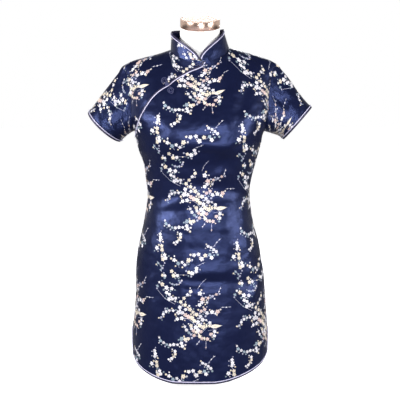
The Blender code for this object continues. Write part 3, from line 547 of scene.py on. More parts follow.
class Term:
    """A number in a node tree. Arithmetic on it adds the Math nodes."""

    def __init__(self, graph: Graph, socket: bpy.types.NodeSocket) -> None:
        """Wraps an output socket."""
        self.graph = graph
        self.socket = socket

    def math(self, operation: str, *others: object, clamp: bool = False) -> "Term":
        """Applies a Math operation to this and other numbers."""
        inputs = dict(enumerate((self, *others)))
        return self.graph.term("ShaderNodeMath", {"operation": operation, "use_clamp": clamp}, inputs)

    def flipped(self, operation: str, first: object) -> "Term":
        """Applies a Math operation with this as the second number."""
        return self.graph.term("ShaderNodeMath", {"operation": operation}, {0: first, 1: self})

    def __add__(self, other: object) -> "Term":
        """Sum."""
        return self.math("ADD", other)

    def __sub__(self, other: object) -> "Term":
        """Difference."""
        return self.math("SUBTRACT", other)

    def __mul__(self, other: object) -> "Term":
        """Product."""
        return self.math("MULTIPLY", other)

    def __radd__(self, other: object) -> "Term":
        """Sum with a plain number first."""
        return self.flipped("ADD", other)

    def __rsub__(self, other: object) -> "Term":
        """Difference from a plain number."""
        return self.flipped("SUBTRACT", other)

    def __rmul__(self, other: object) -> "Term":
        """Product with a plain number first."""
        return self.flipped("MULTIPLY", other)

    def sine(self) -> "Term":
        """Sine in radians."""
        return self.math("SINE")

    def clipped(self) -> "Term":
        """Kept from 0 to 1."""
        return self.math("ADD", 0.0, clamp=True)


class Finish:
    """Base of the finishes: makes its material once and gives it back after that."""

    name: str = ""

    def material(self) -> bpy.types.Material:
        """The finish as a material."""
        if self.name in bpy.data.materials:
            return bpy.data.materials[self.name]
        made = bpy.data.materials.new(self.name)
        made.use_nodes = True
        made.node_tree.nodes.clear()
        graph = Graph(made.node_tree)
        shader = self.dress(graph)
        output = graph.node("ShaderNodeOutputMaterial")
        graph.feed(output.inputs["Surface"], shader.outputs[0])
        return made

    def dress(self, graph: Graph) -> bpy.types.Node:
        """Builds the shader. Each finish has its own."""
        raise NotImplementedError


def show(name: str, data: bpy.types.ID) -> bpy.types.Object:
    """Puts an object with this data into the scene."""
    made = bpy.data.objects.new(name, data)
    bpy.context.scene.collection.objects.link(made)
    return made


def mesh_from(name: str, shape: bmesh.types.BMesh) -> bpy.types.Mesh:
    """Turns a shape under construction into mesh data."""
    data = bpy.data.meshes.new(name)
    shape.to_mesh(data)
    shape.free()
    return data


def mend_normals(piece: bpy.types.Object) -> None:
    """Turns a closed shell's faces outwards."""
    mesh = bmesh.new()
    mesh.from_mesh(piece.data)
    bmesh.ops.recalc_face_normals(mesh, faces=mesh.faces)
    mesh.to_mesh(piece.data)
    mesh.free()


def add_mesh(name: str, points: Array, faces: Iterable, uv: Array | None = None,
             sharp: float = 50.0) -> bpy.types.Object:
    """Makes a smooth-shaded mesh object at the origin.

    Args:
        name: The piece's name.
        points: Its vertices.
        faces: Vertex numbers of each face.
        uv: Flat cloth coordinates of each vertex, kept as a UV map.
        sharp: Edges with a larger angle in degrees stay sharp.

    Returns:
        The object.
    """
    data = bpy.data.meshes.new(name)
    data.from_pydata(np.asarray(points).tolist(), [], np.asarray(faces).tolist())
    data.shade_smooth()
    data.set_sharp_from_angle(angle=math.radians(sharp))
    if uv is not None:
        corners = np.empty(len(data.loops), np.int32)
        data.loops.foreach_get("vertex_index", corners)
        data.uv_layers.new(name="flat").data.foreach_set("uv", np.asarray(uv)[corners].ravel())
    return show(name, data)


def grid_faces(rows: int, columns: int, closed: bool = False, start: int = 0) -> Array:
    """Four-sided faces of a grid of vertices, wrapped round where it is closed."""
    index = np.arange(rows * columns).reshape(rows, columns) + start
    right = np.roll(index, -1, axis=1)
    quads = np.stack((index[:-1], right[:-1], right[1:], index[1:]), axis=-1)
    if not closed:
        quads = quads[:, :-1]
    return quads.reshape(-1, 4)


def wall(name: str, outer: Array, inner: Array, closed: bool = False, flip: bool = False,
         uv: Array | None = None) -> bpy.types.Object:
    """A cloth wall between two grids of points, closed along its edges.

    Args:
        name: The piece's name.
        outer: Rows of points on the outside, (rows, columns, 3).
        inner: The same rows on the inside.
        closed: Whether the rows wrap round.
        flip: Whether the outside would otherwise face inwards.
        uv: Flat cloth coordinates, (rows, columns, 2).

    Returns:
        The object.
    """
    rows, columns = outer.shape[:2]
    size = rows * columns
    faces = [grid_faces(rows, columns, closed)]
    faces.append(grid_faces(rows, columns, closed, size)[:, ::-1])
    low = np.arange(columns)
    high = low + size - columns
    for edge, turn in ((low, False), (high, True)):
        after = np.roll(edge, -1)
        rim = np.stack((after, edge, edge + size, after + size), axis=-1)
        rim = rim if closed else rim[:-1]
        faces.append(rim[:, ::-1] if turn else rim)
    if not closed:
        left = np.arange(rows) * columns
        for edge, turn in ((left, False), (left + columns - 1, True)):
            rim = np.stack((edge[:-1], edge[1:], edge[1:] + size, edge[:-1] + size), axis=-1)
            faces.append(rim[:, ::-1] if turn else rim)
    faces = np.concatenate(faces)
    faces = faces[:, ::-1] if flip else faces
    points = np.concatenate((outer.reshape(-1, 3), inner.reshape(-1, 3)))
    flat = None if uv is None else np.concatenate((uv.reshape(-1, 2),) * 2)
    return add_mesh(name, points, faces, flat)


class Generator:
    """A geometry-node tree with named inputs, applied to an object and turned into a plain mesh."""

    def __init__(self, name: str, inputs: Sequence[tuple[str, str, object]]) -> None:
        """Makes the tree.

        Args:
            name: What it makes.
            inputs: Name, socket type and first value of each input after the geometry.
        """
        self.tree = bpy.data.node_groups.new(name, "GeometryNodeTree")
        face = self.tree.interface
        face.new_socket("Geometry", in_out="INPUT", socket_type="NodeSocketGeometry")
        self.identifiers: dict[str, str] = {}
        for label, kind, value in inputs:
            socket = face.new_socket(label, in_out="INPUT", socket_type=kind)
            if value is not None:
                socket.default_value = value
            self.identifiers[label] = socket.identifier
        face.new_socket("Geometry", in_out="OUTPUT", socket_type="NodeSocketGeometry")
        self.graph = Graph(self.tree)
        self.given = self.graph.node("NodeGroupInput")

    def input(self, label: str) -> bpy.types.NodeSocket:
        """One of the named inputs as a socket."""
        return self.given.outputs[label]

    def close(self, geometry: bpy.types.NodeSocket) -> None:
        """Ends the tree with real geometry in its material."""
        real = self.graph.node("GeometryNodeRealizeInstances", None, {"Geometry": geometry})
        dressed = self.graph.node(
            "GeometryNodeSetMaterial", None,
            {"Geometry": real.outputs[0], "Material": self.input("Material")},
        )
        self.graph.node("NodeGroupOutput", None, {"Geometry": dressed.outputs[0]})

    def apply(self, source: bpy.types.Object, name: str, **values: object) -> bpy.types.Object:
        """Runs the tree on an object and keeps the result as a plain mesh in its place.

        Args:
            source: A mesh or curve object, which is removed.
            name: The new piece's name.
            values: Inputs by name, with _ for a space.

        Returns:
            The new mesh object.
        """
        modifier = source.modifiers.new(name, "NODES")
        modifier.node_group = self.tree
        for key, value in values.items():
            modifier[self.identifiers[key.replace("_", " ")]] = value
        graph = bpy.context.evaluated_depsgraph_get()
        data = bpy.data.meshes.new_from_object(source.evaluated_get(graph), depsgraph=graph)
        data.name = name
        source.modifiers.remove(modifier)
        bpy.data.objects.remove(source)
        return show(name, data)


def add_path(name: str, *lines: Array, closed: bool = False,
             thinning: tuple[float, float] = (1.0, 1.0)) -> bpy.types.Object:
    """A curve through one or more lines of points, for the generators to follow.

    Args:
        name: Its name.
        lines: Points of each line.
        closed: Whether each line comes back to its start.
        thinning: Share of the radius at each line's start and end.

    Returns:
        The curve object.
    """
    curve = bpy.data.curves.new(name, "CURVE")
    curve.dimensions = "3D"
    for points in lines:
        spline = curve.splines.new("POLY")
        spline.points.add(len(points) - 1)
        places = np.concatenate((points, np.ones((len(points), 1))), axis=1)
        spline.points.foreach_set("co", places.ravel())
        spline.points.foreach_set("radius", np.linspace(*thinning, len(points)))
        spline.use_cyclic_u = closed
    return show(name, curve)


def cord_generator() -> Generator:
    """A round cord along a path."""
    made = Generator("cord", (
        ("Radius", "NodeSocketFloat", 0.001),
        ("Sides", "NodeSocketInt", 8),
        ("Material", "NodeSocketMaterial", None),
    ))
    graph = made.graph
    ring = graph.node("GeometryNodeCurvePrimitiveCircle", None,
                      {"Resolution": made.input("Sides"), "Radius": made.input("Radius")})
    swept = graph.node("GeometryNodeCurveToMesh", None, {
        "Curve": made.input("Geometry"), "Profile Curve": ring.outputs[0], "Fill Caps": True,
    })
    smooth = graph.node("GeometryNodeSetShadeSmooth", None, {"Geometry": swept.outputs[0]})
    made.close(smooth.outputs[0])
    return made


def motif_generator() -> Generator:
    """One woven motif set on every flower point, turned and sized by the point's own values."""
    made = Generator("woven motifs", (
        ("Motif", "NodeSocketObject", None),
        ("Material", "NodeSocketMaterial", None),
    ))
    graph = made.graph
    shape = graph.node("GeometryNodeObjectInfo", None, {"Object": made.input("Motif")})
    size = graph.node("GeometryNodeInputNamedAttribute", {"data_type": "FLOAT"}, {"Name": "size"})
    spin = graph.node("GeometryNodeInputNamedAttribute", {"data_type": "FLOAT_VECTOR"}, {"Name": "spin"})
    turned = graph.node("FunctionNodeEulerToRotation", None, {0: spin.outputs[0]})
    placed = graph.node("GeometryNodeInstanceOnPoints", None, {
        "Points": made.input("Geometry"),
        "Instance": shape.outputs["Geometry"],
        "Rotation": turned.outputs[0],
        "Scale": size.outputs[0],
    })
    made.close(placed.outputs[0])
    return made


def stitch_generator() -> Generator:
    """Short stitches spaced along a path."""
    made = Generator("stitches", (
        ("Pitch", "NodeSocketFloat", 0.0025),
        ("Length", "NodeSocketFloat", 0.0016),
        ("Radius", "NodeSocketFloat", 0.00018),
        ("Material", "NodeSocketMaterial", None),
    ))
    graph = made.graph
    spots = graph.node("GeometryNodeCurveToPoints", {"mode": "LENGTH"}, {
        "Curve": made.input("Geometry"), "Length": made.input("Pitch"),
    })
    start = graph.term("ShaderNodeMath", {"operation": "MULTIPLY"}, {0: made.input("Length"), 1: -0.5})
    stop = graph.term("ShaderNodeMath", {"operation": "MULTIPLY"}, {0: made.input("Length"), 1: 0.5})
    low = graph.node("ShaderNodeCombineXYZ", None, {"Z": start})
    high = graph.node("ShaderNodeCombineXYZ", None, {"Z": stop})
    line = graph.node("GeometryNodeCurvePrimitiveLine", None,
                      {"Start": low.outputs[0], "End": high.outputs[0]})
    ring = graph.node("GeometryNodeCurvePrimitiveCircle", None,
                      {"Resolution": 5, "Radius": made.input("Radius")})
    thread = graph.node("GeometryNodeCurveToMesh", None, {
        "Curve": line.outputs[0], "Profile Curve": ring.outputs[0], "Fill Caps": True,
    })
    placed = graph.node("GeometryNodeInstanceOnPoints", None, {
        "Points": spots.outputs["Points"],
        "Instance": thread.outputs[0],
        "Rotation": spots.outputs["Rotation"],
    })
    made.close(placed.outputs[0])
    return made


class Floss(Enum):
    """Colours of the figuring thread."""

    WHITE = (0.66, 0.65, 0.68)
    CREAM = (0.66, 0.59, 0.47)
    BLUSH = (0.56, 0.43, 0.39)
    TEAL = (0.22, 0.29, 0.34)
    LILAC = (0.34, 0.35, 0.46)


class Motif(Enum):
    """Shapes that the figuring thread makes."""

    BLOSSOM = "blossom"
    BUD = "bud"
    LEAF = "leaf"


@dataclass(frozen=True)
class Bough:
    """One flowering twig of the repeat, in millimetres from the middle of its spray.

    path is where the twig runs, and the blossoms are spaced along it, each set off to one side or the other
    at random.
    """

    path: tuple[tuple[float, float], ...]
    blossoms: int
    size: float = 8.0
    spread: float = 3.0
    flosses: tuple[Floss, ...] = (Floss.WHITE,)
    motif: Motif = Motif.BLOSSOM


W, C, P, T, L = Floss.WHITE, Floss.CREAM, Floss.BLUSH, Floss.TEAL, Floss.LILAC
REPEAT = (
    Bough(((-54, 22), (-34, 15), (-17, 5), (-2, -7), (10, -20)), 9, 11.5, 2.6, (W, C, W, P, C)),
    Bough(((-47, 7), (-29, 5), (-15, -5), (-7, -20)), 6, 10.5, 2.0, (W, W, C, P)),
    Bough(((-39, 27), (-20, 27), (-10, 15), (5, 10), (10, -2)), 6, 10.0, 2.0, (C, P, W)),
    Bough(((-7, -20), (5, -29), (17, -17)), 4, 10.5, 2.0, (P, W, P)),
    Bough(((0, 20), (10, 27), (20, 15)), 3, 9.0, 1.5, (P, W)),
    Bough(((-2, 34), (7, 47), (7, 59), (-2, 69)), 5, 11.0, 1.5, (P, W, W)),
    Bough(((-5, 76), (2, 88), (15, 100)), 2, 4.0, 0.8, (L, W), Motif.BUD),
    Bough(((17, 39), (22, 54), (34, 61), (44, 66)), 4, 7.0, 1.2, (W, P, L)),
    Bough(((44, 66), (51, 81)), 2, 4.5, 0.6, (W,), Motif.BUD),
    Bough(((-47, 39), (-37, 56), (-22, 66), (-20, 76)), 4, 9.0, 1.5, (C, W, W)),
    Bough(((-47, 42), (-32, 39), (-51, 29)), 4, 10.5, 1.5, (C, P, W)),
    Bough(((-51, 5), (-61, 0)), 2, 8.5, 0.8, (W,)),
    Bough(((-59, 24), (-76, 24), (-86, 15), (-96, 2)), 5, 8.0, 1.2, (W, W, L)),
    Bough(((20, 15), (32, 24), (44, 22), (51, 29)), 5, 10.5, 1.5, (P, C, W)),
    Bough(((51, 32), (61, 32), (76, 32)), 3, 4.5, 0.8, (W, L), Motif.BUD),
    Bough(((20, -15), (54, -12)), 1, 23.0, 0.0, (C,), Motif.LEAF),
    Bough(((20, -24), (42, -20)), 1, 16.0, 0.0, (P,), Motif.LEAF),
    Bough(((22, -2), (29, -10), (34, -20)), 3, 8.5, 1.0, (W, P, C)),
    Bough(((-17, -37), (-2, -37), (7, -44), (22, -44)), 6, 10.0, 1.8, (P, W, P, C)),
    Bough(((24, -32), (34, -34)), 2, 8.5, 1.0, (P, W)),
    Bough(((15, -49), (15, -69)), 2, 4.5, 0.8, (P, L), Motif.BUD),
    Bough(((0, -47), (-7, -59)), 2, 4.5, 0.8, (W,), Motif.BUD),
    Bough(((-37, -10), (-32, -22), (-22, -32)), 3, 8.0, 1.2, (W, T, W)),
    Bough(((-24, -42), (-32, -44), (-47, -44), (-44, -56), (-42, -66)), 6, 10.5, 1.5, (T, W, W, C)),
    Bough(((-49, -56), (-64, -59), (-76, -61), (-88, -54), (-100, -51)), 6, 8.0, 1.2, (W, T, W, L)),
    Bough(((-59, -71), (-59, -81), (-69, -96)), 4, 8.0, 1.2, (W, W, C)),
    Bough(((-98, 208), (-98, 186), (-91, 174)), 5, 9.0, 1.2, (W, W, C)),
    Bough(((-110, 172), (-98, 169), (-86, 162), (-83, 149), (-93, 145)), 7, 10.5, 1.8, (W, W, C)),
    Bough(((-105, 140), (-93, 127), (-93, 115)), 3, 6.0, 1.2, (T, W, T)),
    Bough(((-93, 108), (-81, 105)), 2, 8.5, 0.8, (W, C)),
    Bough(((-93, 88), (-83, 78), (-74, 78), (-64, 76)), 5, 10.5, 1.2, (W, W, C, T)),
    Bough(((-108, 83), (-100, 78)), 1, 6.5, 0.5, (T,)),
    Bough(((-71, 88), (-51, 86), (-44, 96)), 3, 6.5, 1.0, (W, L, W)),
    Bough(((-83, 69), (-71, 61), (-76, 51), (-54, 54)), 6, 9.5, 1.6, (W, C, W)),
    Bough(((-103, 71), (-83, 51), (-59, 39)), 1, 5.0, 0.5, (T,), Motif.BUD),
    Bough(((-64, 147), (-51, 140), (-49, 127)), 4, 10.5, 1.4, (T, W, W)),
    Bough(((-44, 142), (-37, 132), (-27, 135)), 4, 9.0, 1.2, (W, C, W)),
    Bough(((-29, 147), (-17, 142)), 2, 11.0, 0.6, (W, C)),
    Bough(((-15, 154), (-5, 162), (2, 154), (5, 145)), 5, 11.0, 1.4, (W, C, W)),
    Bough(((10, 159), (17, 152), (24, 159), (32, 149)), 4, 10.0, 1.2, (T, W, C)),
    Bough(((17, 181), (29, 174), (42, 162)), 4, 8.0, 1.4, (W, W, L)),
    Bough(((32, 176), (42, 189), (51, 196)), 3, 5.0, 0.8, (W, L), Motif.BUD),
    Bough(((-69, 120), (-61, 105), (-51, 110)), 5, 9.5, 1.6, (W, C, W)),
    Bough(((-49, 110), (-29, 110)), 1, 5.0, 0.5, (C,), Motif.BUD),
    Bough(((-29, 118), (-17, 113), (-7, 115), (-7, 130)), 5, 10.5, 1.2, (W, W, C)),
    Bough(((-5, 132), (12, 140)), 2, 4.5, 0.6, (W, L), Motif.BUD),
    Bough(((20, -5), (29, -15), (37, -24), (34, -39)), 8, 9.5, 2.0, (C, W, C, P)),
    Bough(((-10, 20), (7, 7), (24, -5)), 5, 9.0, 1.5, (C, W)),
    Bough(((-24, -10), (-15, -24), (0, -32)), 5, 9.0, 1.5, (C, W, P)),
)
# The next spray to the side and the next one up, in metres
REPEAT_ASIDE = (0.189, -0.020)
REPEAT_UP = (0.013, 0.281)
REPEAT_FIRST = (0.000, 0.169)


class Chart:
    """Flat cloth coordinates of one piece, and the way from them onto the worn piece."""

    reach: tuple[float, float, float, float] = (-0.3, 0.3, 0.0, 0.85)

    def drift(self, s: Array | float, t: Array | float) -> Array | float:
        """How far the darts draw the pattern aside at a flat place: not at all on most pieces."""
        return 0.0 * s

    def locate(self, flat: Array) -> tuple[Array, Array, Array]:
        """Finds places on the piece.

        Args:
            flat: Points of the flat cloth, (count, 2).

        Returns:
            The first and second place values, kept on the piece, and whether each was on it.
        """
        raise NotImplementedError

    def place(self, first: Array, second: Array, lift: Array) -> Array:
        """Points of the worn piece at places on it, lifted out of its outside."""
        raise NotImplementedError


class BodyChart(Chart):
    """Chart of the front, the under-piece or the back."""

    margin: float = 0.0004
    dart_place: tuple[float, float] = (-0.05, 0.597)
    dart_size: tuple[float, float] = (0.11, 0.050)
    dart_pull: float = -0.027
    chest_pull: float = -0.020

    def __init__(self, side: int, left: Callable[[Array], Array], right: Callable[[Array], Array],
                 lowest: Callable[[Array], Array], lifted: bool) -> None:
        """Takes the piece's limits.

        Args:
            side: 1 for the front, -1 for the back.
            left: Leftmost column at nominal heights.
            right: Rightmost column at nominal heights.
            lowest: Lowest nominal height at columns.
            lifted: Whether the piece stands off beside the opening.
        """
        self.side = side
        self.left = left
        self.right = right
        self.lowest = lowest
        self.lifted = lifted
        self.heights = np.linspace(0.0, TOP, 164)
        self.columns = np.linspace(-1.0, 1.0, 241)
        grid = SURFACE.bare_point(side, self.columns[None, :], self.heights[:, None])
        along = row_lengths(grid)
        self.along = along - along[:, [len(self.columns) // 2]]

    def drift(self, s: Array | float, t: Array | float) -> Array | float:
        """The bust darts draw the front's pattern to the left below the bust, and upright above it."""
        if self.side < 0:
            return 0.0 * s
        aside = (s - self.dart_place[0]) / self.dart_size[0]
        up = (t - self.dart_place[1]) / self.dart_size[1]
        return self.dart_pull * np.exp(-(up**2) - aside**2) + self.chest_pull * ease((t - 0.60) / 0.15)

    def between_rows(self, h: Array, read: Callable[[Array, int], Array]) -> Array:
        """Reads the chart at heights between its rows.

        Args:
            h: Nominal heights.
            read: Gives the values of the picked places on one row.

        Returns:
            The values at the heights.
        """
        rows = np.clip(np.searchsorted(self.heights, h), 1, len(self.heights) - 1)
        share = (h - self.heights[rows - 1]) / (self.heights[rows] - self.heights[rows - 1])
        out = np.empty_like(h)
        for row in np.unique(rows):
            pick = rows == row
            low, high = read(pick, row - 1), read(pick, row)
            out[pick] = low + (high - low) * share[pick]
        return out

    def distance(self, u: Array, h: Array) -> Array:
        """Distance of a column from the middle of the panel, along the cloth."""
        return self.side * self.between_rows(
            h, lambda pick, row: np.interp(u[pick], self.columns, self.along[row]))

    def locate(self, flat: Array) -> tuple[Array, Array, Array]:
        """Columns and nominal heights of flat places, which read from left to right on either side."""
        h = np.clip(flat[:, 1], 0.0, TOP)
        s = flat[:, 0] * self.side
        u = self.between_rows(h, lambda pick, row: np.interp(s[pick], self.along[row], self.columns))
        left, right = self.left(h), self.right(h)
        lowest = self.lowest(u)
        outside = (u <= left + 1e-5) | (u >= right - 1e-5)
        outside |= (flat[:, 1] <= lowest) | (flat[:, 1] >= TOP)
        u = np.clip(u, left, right)
        h = np.clip(h, lowest + self.margin, TOP - self.margin)
        return u, h, ~outside

    def place(self, first: Array, second: Array, lift: Array) -> Array:
        """Points of the worn panel."""
        if self.lifted:
            worn = SURFACE.point(self.side, first, second)
            lift = lift + SURFACE.overlap_lift(worn[..., 0], worn[..., 2])
        return SURFACE.point(self.side, first, second, lift)


class TubeChart(Chart):
    """Chart of a sleeve: distance round it from its top, and distance back up from its cuff."""

    def __init__(self, rings: Array, normals: Array) -> None:
        """Takes the sleeve's rings.

        Args:
            rings: Its outside, (rings, points, 3), from the armhole to the cuff.
            normals: Outward normals there.
        """
        self.rings = np.concatenate((rings, rings[:, :1]), axis=1)
        self.normals = np.concatenate((normals, normals[:, :1]), axis=1)
        middle = self.rings.shape[1] // 2
        along = row_lengths(self.rings)
        self.along = along - along[:, [middle]]
        self.length = float(np.linalg.norm(np.diff(self.rings[:, middle], axis=0), axis=-1).sum())

    def locate(self, flat: Array) -> tuple[Array, Array, Array]:
        """Fractions of the ring number and of the point number."""
        row = (1 - flat[:, 1] / self.length) * (len(self.rings) - 1)
        inside = (row > 0) & (row < len(self.rings) - 1)
        row = np.clip(row, 0.0, len(self.rings) - 1.001)
        low = row.astype(int)
        share = row - low
        column = np.empty_like(row)
        last = self.rings.shape[1] - 1
        numbers = np.arange(last + 1)
        for k in np.unique(low):
            pick = low == k
            first = np.interp(flat[pick, 0], self.along[k], numbers)
            second = np.interp(flat[pick, 0], self.along[k + 1], numbers)
            column[pick] = first + (second - first) * share[pick]
        inside &= (column > 1e-3) & (column < last - 1e-3)
        return row, column, inside

    def place(self, first: Array, second: Array, lift: Array) -> Array:
        """Points of the worn sleeve."""
        normal = unit(read_grid(self.normals, first, second))
        return read_grid(self.rings, first, second) + normal * lift[:, None]


def collar_point(angle: Array, up: Array, lift: Array | float = 0.0) -> Array:
    """A point of the stand collar at an angle round the neck and a height above its seam."""
    depth = np.where(np.cos(angle) > 0, NECK_FRONT, NECK_BACK)
    share = up / StandCollar.height
    scale = 1 + (StandCollar.top_scale - 1) * share
    x = (NECK_HALF + lift) * np.sin(angle) * scale + StandCollar.top_shift * share
    y = -(depth + lift) * np.cos(angle) * scale
    z = SURFACE.neck_height(angle) + StandCollar.lift + up
    return np.stack(np.broadcast_arrays(x, y, z), axis=-1) + CENTRE_SHIFT


class CollarChart(Chart):
    """Chart of the stand collar: distance round the neck from the middle of the back, and height."""

    def locate(self, flat: Array) -> tuple[Array, Array, Array]:
        """Angles round the neck and heights above the neck seam."""
        start = StandCollar.front_start / NECK_HALF
        angle = math.pi + flat[:, 0] / NECK_HALF
        top = StandCollar.rise(angle) - BINDING_WIDTH - SEAM_GAP
        inside = (angle > start) & (angle < 2 * math.pi - start) & (flat[:, 1] > 0) & (flat[:, 1] < top)
        angle = np.clip(angle, start, 2 * math.pi - start)
        return angle, np.clip(flat[:, 1], 0.0, StandCollar.cloth_top(angle)), inside

    def place(self, first: Array, second: Array, lift: Array) -> Array:
        """Points of the worn collar."""
        return collar_point(first, second, lift)


class Brocade:
    """Weaves the blossom boughs of the repeat onto a charted piece."""

    seed: int = 29
    floss_lift: float = 0.00022
    twig_radius: float = 0.00042
    domes: tuple[float, float, float] = (0.00042, 0.00042, 0.00036)
    petals: int = 5
    ring_share: float = 0.45
    petal_points: int = 4
    closeness: float = 0.37
    fillers: int = 2
    filler_sizes: tuple[float, float] = (0.0035, 0.0060)

    def __init__(self) -> None:
        """Makes the motif shapes, the repeat and the generators once."""
        self.flowers = self.repeat_flowers()
        self.motifs = motif_generator()
        self.cords = cord_generator()
        self.shapes = {
            Motif.BLOSSOM: self.blossom_shape(),
            Motif.BUD: self.bud_shape(),
            Motif.LEAF: self.leaf_shape(),
        }

    def fan_shape(self, name: str, rim: Array, top: float) -> bpy.types.Object:
        """A low domed motif: a fan from its middle over a halfway ring to its rim.

        Args:
            name: The shape's name.
            rim: Points of the outline in x and y, for a motif of size 1.
            top: Height of the middle.

        Returns:
            The shape, which isn't shown.
        """
        count = len(rim)
        points = [(0.0, 0.0, top)]
        points += [(x, y, top * 0.75) for x, y in rim * self.ring_share]
        points += [(x, y, 0.0) for x, y in rim]
        faces: list[tuple[int, ...]] = []
        for k in range(count):
            after = (k + 1) % count
            faces.append((0, 1 + k, 1 + after))
            faces.append((1 + k, 1 + count + k, 1 + count + after, 1 + after))
        made = bpy.data.meshes.new(name)
        made.from_pydata(points, [], faces)
        made.shade_smooth()
        rimness = made.attributes.new("rimness", "FLOAT", "POINT")
        rimness.data.foreach_set("value", [0.0] + [self.ring_share] * count + [1.0] * count)
        return show(name, made)

    def blossom_shape(self) -> bpy.types.Object:
        """Five round petals."""
        count = self.petals * self.petal_points
        angles = np.arange(count) * 2 * math.pi / count
        reach = 0.5 * (0.60 + 0.40 * np.abs(np.cos(self.petals * angles / 2)) ** 0.7)
        rim = np.stack((np.cos(angles), np.sin(angles)), axis=-1) * reach[:, None]
        return self.fan_shape("blossom_shape", rim, 1.0)

    def bud_shape(self) -> bpy.types.Object:
        """A small pointed bud."""
        angles = np.arange(9) * 2 * math.pi / 9
        reach = 0.36 + 0.14 * np.cos(angles)
        rim = np.stack((np.cos(angles), 0.8 * np.sin(angles)), axis=-1) * reach[:, None]
        return self.fan_shape("bud_shape", rim, 1.0)

    def leaf_shape(self) -> bpy.types.Object:
        """A slim leaf with a sharp tip."""
        along = np.array((-0.5, -0.3, 0.0, 0.3, 0.7, 0.3, 0.0, -0.3))
        over = np.array((0.0, -0.16, -0.2, -0.13, 0.0, 0.13, 0.2, 0.16))
        return self.fan_shape("leaf_shape", np.stack((along, over), axis=-1), 0.8)

    def sprays(self, reach: tuple[float, float, float, float]) -> list[tuple[float, float]]:
        """Middles of the sprays whose boughs can touch an area of the flat cloth."""
        found = []
        for up in range(-2, 5):
            for aside in range(-4, 5):
                s = REPEAT_FIRST[0] + aside * REPEAT_ASIDE[0] + up * REPEAT_UP[0]
                t = REPEAT_FIRST[1] + aside * REPEAT_ASIDE[1] + up * REPEAT_UP[1]
                if reach[0] - 0.13 < s < reach[1] + 0.13 and reach[2] - 0.25 < t < reach[3] + 0.13:
                    found.append((s, t))
        return found

    def bough_line(self, bough: Bough, count: int) -> Array:
        """Evenly spaced points along a bough's path, in metres from the middle of its spray."""
        path = np.array(bough.path) / 1000.0
        lengths = line_lengths(path)
        return read_line(path, lengths, np.linspace(0.0, lengths[-1], count))

    def repeat_flowers(self) -> list[tuple[Motif, tuple[float, ...]]]:
        """One repeat's flowers as motif, then x, y, spin, size and colour.

        Small buds fill in round the blossoms where there is room.
        """
        draw = random.Random(self.seed)
        kept: list[tuple[Motif, tuple[float, ...]]] = []
        spots: list[tuple[float, float, float]] = []

        def grow(motif: Motif, x: float, y: float, size: float, turn: float, floss: Floss) -> None:
            """Keeps one flower unless it lies too close to another."""
            if any(math.hypot(x - a, y - b) < self.closeness * (size + c) for a, b, c in spots):
                return
            tone = np.array(floss.value) * draw.uniform(0.82, 1.10)
            spots.append((x, y, size))
            kept.append((motif, (x, y, turn, size, *tone)))

        for bough in REPEAT:
            line = self.bough_line(bough, 2 * bough.blossoms + 1)
            for k in range(bough.blossoms):
                x, y = line[2 * k + 1]
                run = unit(line[2 * k + 2] - line[2 * k])
                aside = draw.gauss(0.0, 0.6) * bough.spread / 1000.0
                size = bough.size / 1000.0 * draw.uniform(0.84, 1.10)
                turn = math.atan2(run[1], run[0])
                if bough.motif != Motif.LEAF:
                    turn += draw.gauss(0.0, 0.6)
                grow(bough.motif, x - run[1] * aside, y + run[0] * aside, size, turn,
                     draw.choice(bough.flosses))
        for motif, (x, y, turn, size, *_) in list(kept):
            if motif == Motif.BLOSSOM:
                for _ in range(self.fillers):
                    way = draw.uniform(0, 2 * math.pi)
                    small = draw.uniform(*self.filler_sizes)
                    reach = 0.5 * size + 0.62 * small
                    floss = draw.choice((Floss.WHITE, Floss.CREAM, Floss.LILAC, Floss.TEAL))
                    grow(draw.choice((Motif.BUD, Motif.BLOSSOM)), x + reach * math.cos(way),
                         y + reach * math.sin(way), small, way, floss)
        return kept

    def flat_flowers(self, chart: Chart, shift: tuple[float, float]) -> dict[Motif, list[tuple]]:
        """Every flower on the flat cloth of a piece, by its motif."""
        flowers: dict[Motif, list[tuple]] = {motif: [] for motif in Motif}
        for s, t in self.sprays(chart.reach):
            for motif, (x, y, *rest) in self.flowers:
                height = y + t + shift[1]
                flowers[motif].append((x + s + shift[0] + chart.drift(x + s, height), height, *rest))
        return flowers

    def motif_mesh(self, motif: Motif, flowers: list[tuple], finish: Finish) -> bpy.types.Object:
        """All the flat motifs of one shape as a mesh in the plane of the flat cloth."""
        table = np.array(flowers)
        data = bpy.data.meshes.new("flat_" + motif.value)
        data.from_pydata([(x, y, 0.0) for x, y in table[:, :2]], [], [])
        data.attributes.new("size", "FLOAT", "POINT").data.foreach_set("value", table[:, 3])
        spin = np.zeros((len(table), 3))
        spin[:, 2] = table[:, 2]
        data.attributes.new("spin", "FLOAT_VECTOR", "POINT").data.foreach_set("vector", spin.ravel())
        tone = np.concatenate((table[:, 4:7], np.ones((len(table), 1))), axis=1)
        data.attributes.new("tone", "FLOAT_COLOR", "POINT").data.foreach_set("color", tone.ravel())
        return self.motifs.apply(show(data.name, data), data.name, Motif=self.shapes[motif],
                                 Material=finish.material())

    def twig_mesh(self, chart: Chart, shift: tuple[float, float], finish: Finish) -> bpy.types.Object:
        """The twigs as thin cords in the plane of the flat cloth, thinner towards their tips."""
        lines = []
        for s, t in self.sprays(chart.reach):
            for bough in REPEAT:
                line = self.bough_line(bough, 3 * len(bough.path)) + (s + shift[0], t + shift[1])
                line[:, 0] += chart.drift(line[:, 0], line[:, 1])
                lines.append(np.concatenate((line, np.zeros((len(line), 1))), axis=1))
        path = add_path("twigs", *lines, thinning=(1.3, 0.6))
        return self.cords.apply(path, "flat_twigs", Radius=self.twig_radius, Sides=4,
                                Material=finish.material())

